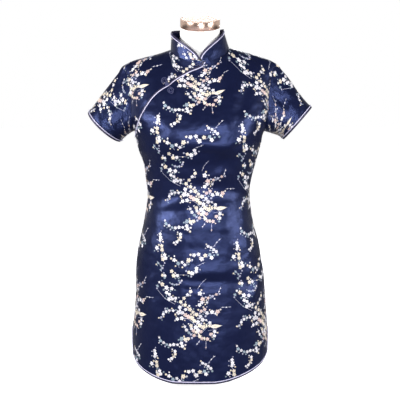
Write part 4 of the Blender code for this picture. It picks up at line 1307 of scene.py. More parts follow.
    def gather(self, flat: bpy.types.Object, tone: Array | None) -> tuple[Array, list, Array, Array]:
        """Takes a flat mesh apart and removes it.

        Args:
            flat: The mesh object in the plane of the flat cloth.
            tone: Its colour, or None where each point carries its own.

        Returns:
            Points, faces, colours and how near each point is to its motif's rim.
        """
        data = flat.data
        count = len(data.vertices)
        points = np.empty(count * 3)
        data.vertices.foreach_get("co", points)
        faces = [tuple(face.vertices) for face in data.polygons]
        tones = np.ones((count, 4))
        rims = np.full(count, 0.6)
        if tone is None:
            values = np.empty(count * 4)
            data.attributes["tone"].data.foreach_get("color", values)
            tones = values.reshape(-1, 4)
            data.attributes["rimness"].data.foreach_get("value", rims)
        else:
            tones[:, :3] = tone
        bpy.data.objects.remove(flat)
        return points.reshape(-1, 3), faces, tones, rims

    def weave(self, name: str, chart: Chart, finish: Finish,
              shift: tuple[float, float] = (0.0, 0.0)) -> bpy.types.Object:
        """Lays the boughs on the flat cloth and carries them onto the worn piece.

        Args:
            name: The new piece's name.
            chart: Chart of the piece that they are woven into.
            finish: The floss.
            shift: Where the repeat starts on this piece.

        Returns:
            One mesh with all the figuring of the piece.
        """
        flowers = self.flat_flowers(chart, shift)
        parts = [self.gather(self.motif_mesh(motif, flowers[motif], finish), None) for motif in Motif]
        twigs = self.gather(self.twig_mesh(chart, shift, finish), np.array(Floss.LILAC.value))
        parts.append(twigs)
        points, faces, tones, rims, total = [], [], [], [], 0
        for dome, (spots, sides, tone, rim) in zip((*self.domes, 0.0), parts):
            if dome:
                spots[:, 2] = dome * (1 - 0.8 * rim)
            else:
                spots[:, 2] = np.maximum(spots[:, 2], 0.0) * 0.8
            points.append(spots)
            faces += [tuple(k + total for k in side) for side in sides]
            tones.append(tone)
            rims.append(rim)
            total += len(spots)
        spots = np.concatenate(points)
        first, second, inside = chart.locate(spots[:, :2])
        kept = [face for face in faces if any(inside[list(face)])]
        used = np.unique(np.concatenate([np.array(face) for face in kept]))
        renumber = np.full(total, -1)
        renumber[used] = np.arange(len(used))
        worn = chart.place(first[used], second[used], self.floss_lift + spots[used, 2])
        made = add_mesh_loose(name, worn, [tuple(renumber[list(face)]) for face in kept])
        data = made.data
        tones_used = np.concatenate(tones)[used]
        data.attributes.new("tone", "FLOAT_COLOR", "POINT").data.foreach_set("color", tones_used.ravel())
        rims_used = np.concatenate(rims)[used]
        data.attributes.new("rimness", "FLOAT", "POINT").data.foreach_set("value", rims_used)
        turn_outwards(made, chart, first[used], second[used])
        data.materials.append(finish.material())
        return made

    def clear(self) -> None:
        """Removes the motif shapes, which aren't pieces."""
        for shape in self.shapes.values():
            bpy.data.objects.remove(shape)


def add_mesh_loose(name: str, points: Array, faces: list[tuple]) -> bpy.types.Object:
    """A smooth mesh object from faces of unlike sizes."""
    data = bpy.data.meshes.new(name)
    data.from_pydata(points.tolist(), [], [tuple(int(k) for k in face) for face in faces])
    data.validate()
    data.shade_smooth()
    return show(name, data)


def turn_outwards(piece: bpy.types.Object, chart: Chart, first: Array, second: Array) -> None:
    """Turns all of a piece's faces round when most of them look into the cloth that they lie on.

    Args:
        piece: The mesh to mend.
        chart: Chart of the cloth below it.
        first: Place of each vertex on the chart.
        second: Its other place value.
    """
    low = chart.place(first, second, np.zeros(len(first)))
    high = chart.place(first, second, np.full(len(first), 0.001))
    outward = high - low
    mesh = bmesh.new()
    mesh.from_mesh(piece.data)
    mesh.faces.ensure_lookup_table()
    mesh.normal_update()
    wrong = [face for face in mesh.faces
             if face.normal.dot(Vector(outward[[vert.index for vert in face.verts]].mean(axis=0))) < 0]
    if 2 * len(wrong) > len(mesh.faces):
        bmesh.ops.reverse_faces(mesh, faces=mesh.faces[:])
    mesh.to_mesh(piece.data)
    mesh.free()


@dataclass(frozen=True)
class SilkSatin(Finish):
    """Dark blue satin ground with fine warp lines and a soft uneven sheen."""

    name: str = "navy_silk_satin"
    dark: tuple[float, float, float] = (0.0020, 0.0030, 0.013)
    light: tuple[float, float, float] = (0.0044, 0.0062, 0.024)
    warp_pitch: float = 0.0008
    weft_pitch: float = 0.0011

    def dress(self, graph: Graph) -> bpy.types.Node:
        """Builds the shader."""
        flat = graph.node("ShaderNodeUVMap", {"uv_map": "flat"})
        parts = graph.node("ShaderNodeSeparateXYZ", None, {0: flat.outputs[0]})
        s, t = (Term(graph, parts.outputs[k]) for k in range(2))
        threads = graph.term("ShaderNodeCombineXYZ", None, {"X": s * 900.0, "Y": t * 70.0})
        slub = graph.noise(threads, 1.0, 3.0)
        cloud = graph.noise(flat.outputs[0], 26.0, 2.0)
        warp = (s * (2 * math.pi / self.warp_pitch)).sine()
        weft = (t * (2 * math.pi / self.weft_pitch)).sine()
        colour = graph.mix((slub * 0.7 + cloud * 0.4 - 0.1).clipped(), (*self.dark, 1.0), (*self.light, 1.0))
        rough = 0.24 + cloud * 0.10 + slub * 0.05
        ripple = graph.noise(flat.outputs[0], 34.0, 1.5)
        soft = graph.bump(0.60, 0.005, ripple)
        height = warp * 0.5 + weft * 0.25 + slub * 1.2
        bump = graph.bump(0.22, 0.0002, height, Normal=soft)
        return graph.shader({
            "Base Color": colour,
            "Roughness": rough,
            "Specular IOR Level": 0.42,
            "Specular Tint": (0.30, 0.40, 1.0, 1.0),
            "Normal": bump,
        })


@dataclass(frozen=True)
class FigureFloss(Finish):
    """The blossoms' silky floss, each motif in its own colour, with a dim heart."""

    name: str = "figure_floss"

    def dress(self, graph: Graph) -> bpy.types.Node:
        """Builds the shader."""
        tone = graph.node("ShaderNodeAttribute", {"attribute_name": "tone"})
        rim = Term(graph, graph.node("ShaderNodeAttribute", {"attribute_name": "rimness"}).outputs["Fac"])
        place = graph.node("ShaderNodeTexCoord").outputs["Object"]
        noise = graph.noise(place, 900.0, 2.0)
        heart = graph.mix(1.0, tone.outputs["Color"], (0.72, 0.52, 0.40, 1.0), "MULTIPLY")
        petal = graph.mix((rim * 2.6 - 0.1).clipped(), heart, tone.outputs["Color"])
        shade = graph.mix((noise * 1.4 - 0.3).clipped(), (0.74, 0.74, 0.78, 1.0), (1.0, 1.0, 1.0, 1.0))
        colour = graph.mix(1.0, petal, shade, "MULTIPLY")
        bump = graph.bump(0.35, 0.0002, noise)
        return graph.shader({
            "Base Color": colour,
            "Roughness": 0.48 + noise * 0.12,
            "Specular IOR Level": 0.4,
            "Sheen Weight": 0.2,
            "Sheen Roughness": 0.4,
            "Normal": bump,
        })


@dataclass(frozen=True)
class Yarn(Finish):
    """A ribbed or twisted yarn for bindings, pipings, cords and stitches, with painted shade in the grooves
    between its ribs and painted highlight on their crests.
    """

    name: str = "yarn"
    dark: tuple[float, float, float] = (0.01, 0.01, 0.03)
    light: tuple[float, float, float] = (0.02, 0.02, 0.05)
    pitch: float = 0.0011
    roughness: float = 0.42
    bump: float = 0.5
    tint: tuple[float, float, float] = (0.8, 0.8, 1.0)

    def dress(self, graph: Graph) -> bpy.types.Node:
        """Builds the shader."""
        place = graph.node("ShaderNodeTexCoord").outputs["Object"]
        parts = graph.node("ShaderNodeSeparateXYZ", None, {0: place})
        x, y, z = (Term(graph, parts.outputs[k]) for k in range(3))
        ribs = ((x + z + y * 0.6) * (2 * math.pi / self.pitch)).sine() * 0.5 + 0.5
        noise = graph.noise(place, 420.0, 3.0)
        # Painted shade and highlight: the colour is darker in the rib grooves and lighter on the rib crests
        # that the bump raises; the noise adds random tone.
        worn = (ribs * 0.45 + noise * 0.75 - 0.1).clipped()
        colour = graph.mix(worn, (*self.dark, 1.0), (*self.light, 1.0))
        bump = graph.bump(self.bump, 0.00025, ribs * 0.8 + noise * 0.5)
        return graph.shader({
            "Base Color": colour,
            "Roughness": self.roughness + noise * 0.10,
            "Specular IOR Level": 0.5,
            "Specular Tint": (*self.tint, 1.0),
            "Normal": bump,
        })


@dataclass(frozen=True)
class FormShell(Finish):
    """Matt off-white shell of the dress form, with a faint eggshell grain."""

    name: str = "form_white_shell"

    def dress(self, graph: Graph) -> bpy.types.Node:
        """Builds the shader."""
        place = graph.node("ShaderNodeTexCoord").outputs["Object"]
        grain = graph.noise(place, 260.0, 4.0)
        cloud = graph.noise(place, 9.0, 2.0)
        share = (cloud * 0.8 + grain * 0.2).clipped()
        colour = graph.mix(share, (0.74, 0.73, 0.73, 1.0), (0.83, 0.825, 0.82, 1.0))
        bump = graph.bump(0.12, 0.0004, grain)
        return graph.shader({
            "Base Color": colour, "Roughness": 0.52 + grain * 0.10, "Normal": bump,
        })


@dataclass(frozen=True)
class RoseMetal(Finish):
    """Polished rose-tinted metal of the neck cap, with faint turning lines."""

    name: str = "rose_metal_cap"

    def dress(self, graph: Graph) -> bpy.types.Node:
        """Builds the shader."""
        place = graph.node("ShaderNodeTexCoord").outputs["Object"]
        stretched = graph.node("ShaderNodeMapping", None, {
            "Vector": place, "Scale": (16.0, 16.0, 60.0),
        })
        lines = graph.noise(stretched.outputs[0], 1.0, 2.0)
        smudge = graph.noise(place, 60.0, 3.0)
        colour = graph.mix(smudge, (0.82, 0.55, 0.43, 1.0), (0.93, 0.68, 0.55, 1.0))
        bump = graph.bump(0.004, 0.0002, lines)
        return graph.shader({
            "Base Color": colour,
            "Metallic": 1.0,
            "Roughness": 0.20 + smudge * 0.05,
            "Normal": bump,
        })


@dataclass(frozen=True)
class PaleFloor(Finish):
    """Plain pale studio floor."""

    name: str = "pale_floor"

    def dress(self, graph: Graph) -> bpy.types.Node:
        """Builds the shader."""
        seen = graph.shader({
            "Base Color": (0.86, 0.86, 0.87, 1.0), "Roughness": 0.8, "Specular IOR Level": 0.2,
            "Emission Color": (1.0, 1.0, 1.0, 1.0), "Emission Strength": 0.85,
        })
        mirrored = graph.node("ShaderNodeBsdfDiffuse", None, {"Color": (0.22, 0.22, 0.25, 1.0)})
        path = graph.node("ShaderNodeLightPath")
        return graph.node("ShaderNodeMixShader", None, {
            0: path.outputs["Is Camera Ray"], 1: mirrored.outputs[0], 2: seen.outputs[0],
        })


SATIN = SilkSatin()
FLOSS = FigureFloss()
BINDING = Yarn("dark_binding_satin", (0.0055, 0.0045, 0.016), (0.020, 0.017, 0.045), 0.0012, 0.40, 0.35)
PIPING = Yarn("silver_piping_cord", (0.36, 0.34, 0.50), (0.66, 0.64, 0.82), 0.0013, 0.38, 0.6,
              (1.0, 1.0, 1.0))
FROG_CORD = Yarn("navy_frog_cord", (0.008, 0.010, 0.036), (0.036, 0.042, 0.120), 0.0010, 0.36, 0.6)
STITCH = Yarn("dark_stitching", (0.010, 0.010, 0.030), (0.030, 0.030, 0.075), 0.0008, 0.50, 0.4)


class Wardrobe:
    def __init__(self) -> None:
        """Starts with no pieces."""
        self.count = 0
        self.triangles = 0

    def keep(self, piece: bpy.types.Object, slot: str, finish: Finish, *nodes: str) -> bpy.types.Object:
        """Dresses a piece, rides it on the root body and hides the solids that it stands for.

        Args:
            piece: The finished mesh.
            slot: A material slot's name; not used.
            finish: Its finish.
            nodes: The solids that it replaces.

        Returns:
            The piece.
        """
        if not piece.data.materials:
            piece.data.materials.append(finish.material())
        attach(piece, "root")
        if nodes:
            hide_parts(*nodes)
        triangles = sum(len(face.vertices) - 2 for face in piece.data.polygons)
        self.count += 1
        self.triangles += triangles
        LOG.info("%s: %d triangles", piece.name, triangles)
        return piece


def mesh_area(points: Array, closed: bool = False) -> float:
    """Area of a grid of points."""
    if closed:
        points = np.concatenate((points, points[:, :1]), axis=1)
    first = np.cross(points[1:, 1:] - points[:-1, :-1], points[1:, :-1] - points[:-1, 1:])
    return float(np.linalg.norm(first, axis=-1).sum() / 2)


def join(name: str, objects: Sequence[bpy.types.Object]) -> bpy.types.Object:
    """Joins plain meshes of one finish into one piece."""
    mesh = bmesh.new()
    for one in objects:
        mesh.from_mesh(one.data)
    data = mesh_from(name, mesh)
    data.shade_smooth()
    for material in objects[0].data.materials:
        data.materials.append(material)
    for one in objects:
        bpy.data.objects.remove(one)
    return show(name, data)


@dataclass
class Edging:
    """A folded dark binding along a cloth edge, its stitches, and the light piping over the seam."""

    name: str
    path: Array
    normals: Array
    outward: Array
    closed: bool = False

    section: tuple[tuple[float, float], ...] = (
        (0.00, 0.00), (0.45, -0.04), (0.90, 0.02), (1.00, 0.50),
        (0.93, 0.92), (0.70, 1.06), (0.40, 1.08), (0.12, 1.00), (0.00, 0.86),
    )

    def strip(self) -> bpy.types.Object:
        """The binding itself, a soft flat roll with a crease beside the piping."""
        rows = []
        for across, up in self.section:
            reach = SEAM_GAP + BINDING_WIDTH * across
            rows.append(self.path + self.outward * reach + self.normals * (BINDING_THICK * up - CLOTH))
        grid = np.stack(rows, axis=1)
        steps, around = grid.shape[:2]
        points = grid.reshape(-1, 3)
        if self.closed:
            grid = np.concatenate((grid, grid[:1]))
            faces = [tuple(f) for f in grid_faces(steps, around, True)]
            last = np.arange(around) + (steps - 1) * around
            first = np.arange(around)
            seam = np.stack((last, np.roll(last, -1), np.roll(first, -1), first), axis=-1)
            faces += [tuple(f) for f in seam]
        else:
            faces = [tuple(f) for f in grid_faces(steps, around, True)]
            faces.append(tuple(reversed(range(around))))
            faces.append(tuple(range((steps - 1) * around, steps * around)))
        made = add_mesh_loose(self.name + "_binding_strip", points, faces)
        mend_normals(made)
        made.data.shade_smooth()
        made.data.set_sharp_from_angle(angle=math.radians(70))
        return made

    def dress(self, wardrobe: Wardrobe, cords: Generator, stitches: Generator) -> None:
        wardrobe.keep(self.strip(), "binding", BINDING, self.name + "_binding")
        height = BINDING_THICK - CLOTH + PIPING_RADIUS + PIPING_LIFT
        seam = self.path + self.outward * (SEAM_GAP / 2) + self.normals * height
        piping = cords.apply(add_path("piping", seam, closed=self.closed), self.name + "_piping_cord",
                             Radius=PIPING_RADIUS, Sides=10, Material=PIPING.material())
        wardrobe.keep(piping, "piping", PIPING, self.name + "_piping")
        line = self.path - self.outward * STITCH_INSET + self.normals * STITCH_LIFT
        sewn = stitches.apply(add_path("stitches", line, closed=self.closed), self.name + "_stitches",
                              Pitch=STITCH_PITCH, Length=STITCH_LENGTH, Radius=STITCH_RADIUS,
                              Material=STITCH.material())
        wardrobe.keep(sewn, "binding", STITCH)


def path_frame(path: Array, normals: Array, inner: Array, closed: bool = False) -> Array:
    """Directions out of an edge, square to it and to the normals, away from inner points."""
    if closed:
        run = np.roll(path, -1, axis=0) - np.roll(path, 1, axis=0)
    else:
        run = np.gradient(path, axis=0)
    out = unit(np.cross(run, normals))
    wrong = np.einsum("ij,ij->i", out, path - inner) < 0
    out[wrong] *= -1
    return out


@dataclass
class BodyPanels:
    """The front with its slanting opening, the under-piece below it, and the back."""

    columns: int = 128
    hem_rows: int = 40
    body_rows: int = 205
    opening_reach: tuple[float, float] = (0.603, TOP - 0.005)
    yoke_low: float = OPENING_END + 0.001
    corner_power: float = 1.5
    measures: dict[str, tuple[float, float, float]] = field(default_factory=dict)

    def neck_column(self) -> float:
        """The column where the neckline meets the shoulder."""
        edge = float(SURFACE.edge_share(1, CHEST_HEIGHT))
        return math.asin(NECK_HALF * edge / SHOULDER_HALF) / math.asin(edge)

    def hem_height(self, side: int, u: Array) -> Array:
        """Height of the bound edge of the hem at columns, with its rounded corners."""
        columns = np.linspace(-1, 1, 121)
        points = SURFACE.bare_point(side, columns, HEM_HEIGHT)
        lengths = line_lengths(points)
        along = np.interp(u, columns, lengths)
        right = u > 0
        from_edge = np.where(right, lengths[-1] - along, along)
        reach = np.where(right, HEM_CORNER_REACH[1], HEM_CORNER_REACH[-1])
        rise = np.where(right, HEM_CORNER_RISE[1], HEM_CORNER_RISE[-1])
        return HEM_HEIGHT + rise * np.maximum(1 - from_edge / reach, 0.0) ** self.corner_power

    def cloth_low(self, side: int, u: Array) -> Array:
        """Lowest nominal height of the cloth, just above its binding."""
        return self.hem_height(side, u) + BINDING_WIDTH + SEAM_GAP

    def heights(self, low: float, count: int) -> Array:
        """Nominal heights from low to the top, closer together near the neck."""
        share = np.linspace(0.0, 1.0, count)
        return low + (TOP - low) * (1 - (1 - share) ** 1.25)

    def front_columns(self, h: Array) -> Array:
        """Columns of the front at nominal heights: squeezed beside the opening, left of the neck."""
        left = self.opening_column(h)[:, None]
        u = np.linspace(-1, 1, self.columns + 1)[None, :]
        neck = self.neck_column()
        squeezed = neck + (u - neck) * (neck - left) / (neck + 1)
        return np.where(u < neck, squeezed, u + 0 * left)

    def opening_column(self, h: Array) -> Array:
        """Column of the front's left edge at nominal heights."""
        return np.interp(h, EDGE_HEIGHTS, EDGE_COLUMNS)

    def tuck_column(self, h: Array) -> Array:
        """Column of the under-piece's right edge at nominal heights."""
        return np.interp(h, TUCK_HEIGHTS, TUCK_COLUMNS)

    def panel_places(self, side: int) -> tuple[Array, Array]:
        """Columns and nominal heights over the front or the back, from its hem to the shoulders."""
        u = np.linspace(-1, 1, self.columns + 1)
        low = self.cloth_low(side, u)
        share = np.linspace(0, 1, self.hem_rows, endpoint=False)[:, None]
        hem_h = low[None, :] + (SLIT_TOP - low[None, :]) * share
        hem_u = np.broadcast_to(u, hem_h.shape)
        h = self.heights(SLIT_TOP, self.body_rows)
        body_u = self.front_columns(h) if side > 0 else np.broadcast_to(u, (len(h), len(u)))
        body_h = np.broadcast_to(h[:, None], body_u.shape)
        return np.concatenate((hem_u, body_u)), np.concatenate((hem_h, body_h))

    def yoke_places(self) -> tuple[Array, Array]:
        """Columns and nominal heights over the under-piece."""
        h = self.heights(self.yoke_low, 90)
        right = self.tuck_column(h)[:, None]
        share = np.linspace(0, 1, 70)[None, :]
        u = -1 + (right + 1) * share
        return u, np.broadcast_to(h[:, None], u.shape)

    def chart(self, name: str) -> BodyChart:
        """The flat chart of one of the three panels."""
        if name == "front_main":
            return BodyChart(1, self.opening_column, lambda h: np.ones_like(h),
                             lambda u: self.cloth_low(1, u), True)
        if name == "front_yoke":
            return BodyChart(1, lambda h: -np.ones_like(h), self.tuck_column,
                             lambda u: np.full_like(u, self.yoke_low), False)
        return BodyChart(-1, lambda h: -np.ones_like(h), lambda h: np.ones_like(h),
                         lambda u: self.cloth_low(-1, u), False)

    def panel(self, name: str, chart: BodyChart, u: Array, h: Array) -> bpy.types.Object:
        """One cloth panel over its places, with the flat cloth's coordinates as its UV map."""
        columns, heights = u.ravel(), h.ravel()
        outer, inner = (chart.place(columns, heights, np.full(u.size, lift)).reshape(*u.shape, 3)
                        for lift in (0.0, -CLOTH))
        s = chart.distance(columns, np.clip(heights, 1e-6, TOP)).reshape(u.shape)
        uv = np.stack((s, h), axis=-1)
        across = np.linalg.norm(np.diff(outer, axis=1), axis=-1).sum(axis=1).max()
        along = np.linalg.norm(np.diff(outer, axis=0), axis=-1).sum(axis=0).max()
        self.measures[name] = (float(across), float(along), mesh_area(outer))
        return wall(name + "_silk", outer, inner, flip=chart.side < 0, uv=uv)

    def hem_edging(self, side: int, name: str) -> Edging:
        """Edging round the hem and up the slits, stopping short of their tops."""
        u, h = self.panel_places(side)
        rows = slice(1, self.hem_rows, 2)

        def around(values: Array, inset: int, low: int) -> Array:
            """Values down the left slit, along the hem and up the right slit."""
            return np.concatenate((values[rows, inset][::-1], values[low], values[rows, -1 - inset]))

        path = SURFACE.point(side, around(u, 0, 0), around(h, 0, 0))
        normals = SURFACE.normal(side, around(u, 0, 0), around(h, 0, 0))
        outward = path_frame(path, normals, SURFACE.point(side, around(u, 2, 0), around(h, 2, 2)))
        for _ in range(6):
            outward[1:-1] = (outward[:-2] + 2 * outward[1:-1] + outward[2:]) / 4
            outward = unit(outward - normals * np.einsum("ij,ij->i", outward, normals)[:, None])
        return Edging(name, path, normals, outward)

    def opening_edging(self) -> Edging:
        """Edging along the slanting opening, on the lifted edge of the front."""
        h = np.linspace(*self.opening_reach, 90)
        u = self.opening_column(h)
        path = SURFACE.point(1, u, h, OVERLAP_LIFT)
        normals = SURFACE.normal(1, u, h)
        inner = SURFACE.point(1, u + 0.08, h - 0.01, OVERLAP_LIFT)
        for _ in range(4):
            path[1:-1] = (path[:-2] + 2 * path[1:-1] + path[2:]) / 4
        return Edging("placket", path, normals, path_frame(path, normals, inner))

    def build(self, wardrobe: Wardrobe, brocade: Brocade) -> None:
        for name in ("front_main", "front_yoke", "back"):
            chart = self.chart(name)
            if name == "front_yoke":
                u, h = self.yoke_places()
            else:
                u, h = self.panel_places(chart.side)
            silk = self.panel(name, chart, u, h)
            wardrobe.keep(silk, "brocade", SATIN, name)
            figures = brocade.weave(name + "_boughs", chart, FLOSS)
            wardrobe.keep(figures, "brocade", FLOSS)
            LOG.info("%s cut: %s", name, self.measures[name])


@dataclass
class Sleeve:
    """A short set-in sleeve with a bound cuff."""

    name: str
    side: int
    centre: tuple[float, float, float]
    facing: tuple[float, float, float]
    across: float
    deep: float
    front_hang: float
    shift: tuple[float, float]
    # Creases: place round the sleeve in degrees from its front, share along it, slope, half sizes, height
    creases: tuple[tuple[float, ...], ...] = ()
    steps: int = 60
    points: int = 140
    first_height: float = UNDERARM

    def armhole(self) -> Array:
        """Points of the armhole from the underarm, up the front to the shoulder and down the back."""
        h = np.linspace(self.first_height, TOP, 60)
        column = np.full_like(h, float(self.side))
        front = SURFACE.point(1, column, h) - CENTRE_SHIFT
        back = SURFACE.point(-1, column, h) - CENTRE_SHIFT
        low = (front[:1] + back[:1]) / 2
        top = (front[-1:] + back[-1:]) / 2
        return np.concatenate((low, front[1:-1], top, back[1:-1][::-1]))

    def start_loop(self) -> Array:
        """The armhole with evenly spread points on each of its halves."""
        loop = self.armhole()
        closed = np.concatenate((loop, loop[:1]))
        lengths = line_lengths(closed)
        middle = lengths[len(loop) // 2]
        half = self.points // 2
        wanted = np.concatenate((np.linspace(0, middle, half, endpoint=False),
                                 np.linspace(middle, lengths[-1], half, endpoint=False)))
        return read_line(closed, lengths, wanted)

    def rings(self) -> Array:
        """The sleeve's outside, ring by ring from the armhole to its cuff seam."""
        facing = np.array(self.facing)
        across = np.array((-facing[2] * self.side, 0.0, facing[0] * self.side))
        lead = np.array((self.side * 0.93, 0.0, -0.36))
        start = self.start_loop()
        angle = (2 * math.pi * np.arange(len(start)) / len(start) - math.pi / 2)[:, None]
        end = np.array(self.centre) + across * self.across * np.sin(angle)
        end = end + np.array((0.0, -self.deep, 0.0)) * np.cos(angle)
        end = end + facing * self.front_hang * np.maximum(np.cos(angle), 0.0)
        end = end - facing * (BINDING_WIDTH + SEAM_GAP)
        top = (1 + np.sin(angle)) / 2
        first = start + lead * SEAM_GAP * 1.5
        run = np.linalg.norm(end - first, axis=1, keepdims=True)
        leave = unit(lead * (0.35 + 0.45 * (1 - top)) + facing * 0.4 * top) * run
        arrive = facing * run
        t = np.linspace(0, 1, self.steps + 1)[:, None, None]
        return (
            first * (2 * t**3 - 3 * t**2 + 1) + leave * (t**3 - 2 * t**2 + t)
            + end * (3 * t**2 - 2 * t**3) + arrive * (t**3 - t**2)
        )

    def normals(self, rings: Array) -> Array:
        """Normals of the rings, pointing away from each ring's middle."""
        along = np.gradient(rings, axis=0)
        around = np.roll(rings, -1, axis=1) - np.roll(rings, 1, axis=1)
        normal = unit(np.cross(along, around))
        middle = rings.mean(axis=1, keepdims=True)
        wrong = np.einsum("ijk,ijk->ij", normal, rings - middle) < 0
        normal[wrong] *= -1
        return normal

    def creased(self, rings: Array) -> Array:
        """The rings with the sleeve's soft creases, none at its two ends."""
        normal = self.normals(rings)
        share = np.linspace(0, 1, len(rings))[:, None]
        turn = np.degrees(2 * math.pi * np.arange(rings.shape[1]) / rings.shape[1] - math.pi / 2)[None, :]
        out = np.zeros(rings.shape[:2])
        for place, along, slope, length, width, height in self.creases:
            over = ((turn - place + 180) % 360 - 180) / 60.0
            down = share - along
            lean = math.radians(slope)
            long_way = down * math.cos(lean) + over * math.sin(lean)
            short_way = over * math.cos(lean) - down * math.sin(lean)
            out += height * np.exp(-((long_way / length) ** 2) - (short_way / width) ** 2)
        out = out * ease(share / 0.18) * ease((1 - share) / 0.12)
        return rings + normal * out[..., None]

    def build(self, wardrobe: Wardrobe, brocade: Brocade, cords: Generator, stitches: Generator) -> None:
        rings = self.creased(self.rings()) + CENTRE_SHIFT
        normals = self.normals(rings)
        chart = TubeChart(rings, normals)
        chart.reach = (float(chart.along.min()), float(chart.along.max()), 0.0, chart.length)
        column = chart.along[:, :-1]
        rows = np.linspace(chart.length, 0.0, len(rings))[:, None] + 0 * column
        silk = wall("sleeve_" + self.name + "_silk", rings, rings - normals * CLOTH, closed=True,
                    flip=self.side > 0, uv=np.stack((column, rows), axis=-1))
        mend_normals(silk)
        wardrobe.keep(silk, "brocade", SATIN, "sleeve_" + self.name)
        figures = brocade.weave("sleeve_" + self.name + "_boughs", chart, FLOSS, self.shift)
        wardrobe.keep(figures, "brocade", FLOSS)
        area = mesh_area(rings, closed=True)
        outward = path_frame(rings[-1], normals[-1], rings[-3], closed=True)
        Edging("cuff_" + self.name, rings[-1], normals[-1], outward, True).dress(wardrobe, cords, stitches)


class StandCollar:
    """The stand collar with its rounded front ends."""

    height: float = 0.043
    lift: float = 0.0020
    seam_turn: float = 0.0018
    front_start: float = 0.005
    rise_reach: float = 0.075
    top_shift: float = -0.006
    top_scale: float = 0.89
    end_rise: float = 0.0075
    end_slope: float = 1.9
    end_round: float = 0.62
    least_rise: float = 0.002
    columns: int = 240
    rows: int = 18

    @classmethod
    def rise(cls, angle: Array) -> Array:
        """Height of the collar's bound edge at an angle round the neck, low at its front ends."""
        from_front = (math.pi - np.abs(np.abs(angle) - math.pi)) * NECK_HALF
        left = np.maximum(1 - np.maximum(from_front - cls.front_start, 0.0) / cls.rise_reach, 0.0)
        return cls.end_rise + (cls.height - cls.end_rise) * (1 - left**cls.end_slope) ** cls.end_round

    @classmethod
    def cloth_top(cls, angle: Array) -> Array:
        """Height of the silk's upper edge, just below its binding."""
        return np.maximum(cls.rise(angle) - BINDING_WIDTH - SEAM_GAP, cls.least_rise)

    def angles(self) -> Array:
        """Angles round the neck, closer together at the collar's front ends."""
        start = self.front_start / NECK_HALF
        share = np.linspace(0, 1, self.columns)
        share = share - 0.12 * np.sin(2 * math.pi * share)
        return start + (2 * math.pi - 2 * start) * share

    def build(self, wardrobe: Wardrobe, brocade: Brocade, cords: Generator, stitches: Generator) -> None:
        angle = self.angles()
        share = np.linspace(0, 1, self.rows)[:, None]
        up = (self.cloth_top(angle)[None, :] + self.seam_turn) * share - self.seam_turn
        outer = collar_point(angle[None, :], up)
        inner = collar_point(angle[None, :], up, -CLOTH)
        uv = np.stack(((angle[None, :] - math.pi) * NECK_HALF + 0 * up, up), axis=-1)
        silk = wall("collar_silk", outer, inner, uv=uv)
        mend_normals(silk)
        wardrobe.keep(silk, "brocade", SATIN, "collar")
        chart = CollarChart()
        chart.reach = (-0.22, 0.22, 0.0, 0.045)
        figures = brocade.weave("collar_boughs", chart, FLOSS, (0.030, -0.125))
        wardrobe.keep(figures, "brocade", FLOSS)
        area = mesh_area(outer)
        path = outer[-1]
        normals = unit(np.stack((np.sin(angle), -np.cos(angle), 0 * angle + 0.1), axis=-1))
        below = path - np.array((0.0, 0.0, 0.01))
        Edging("collar", path, normals, path_frame(path, normals, below)).dress(wardrobe, cords, stitches)


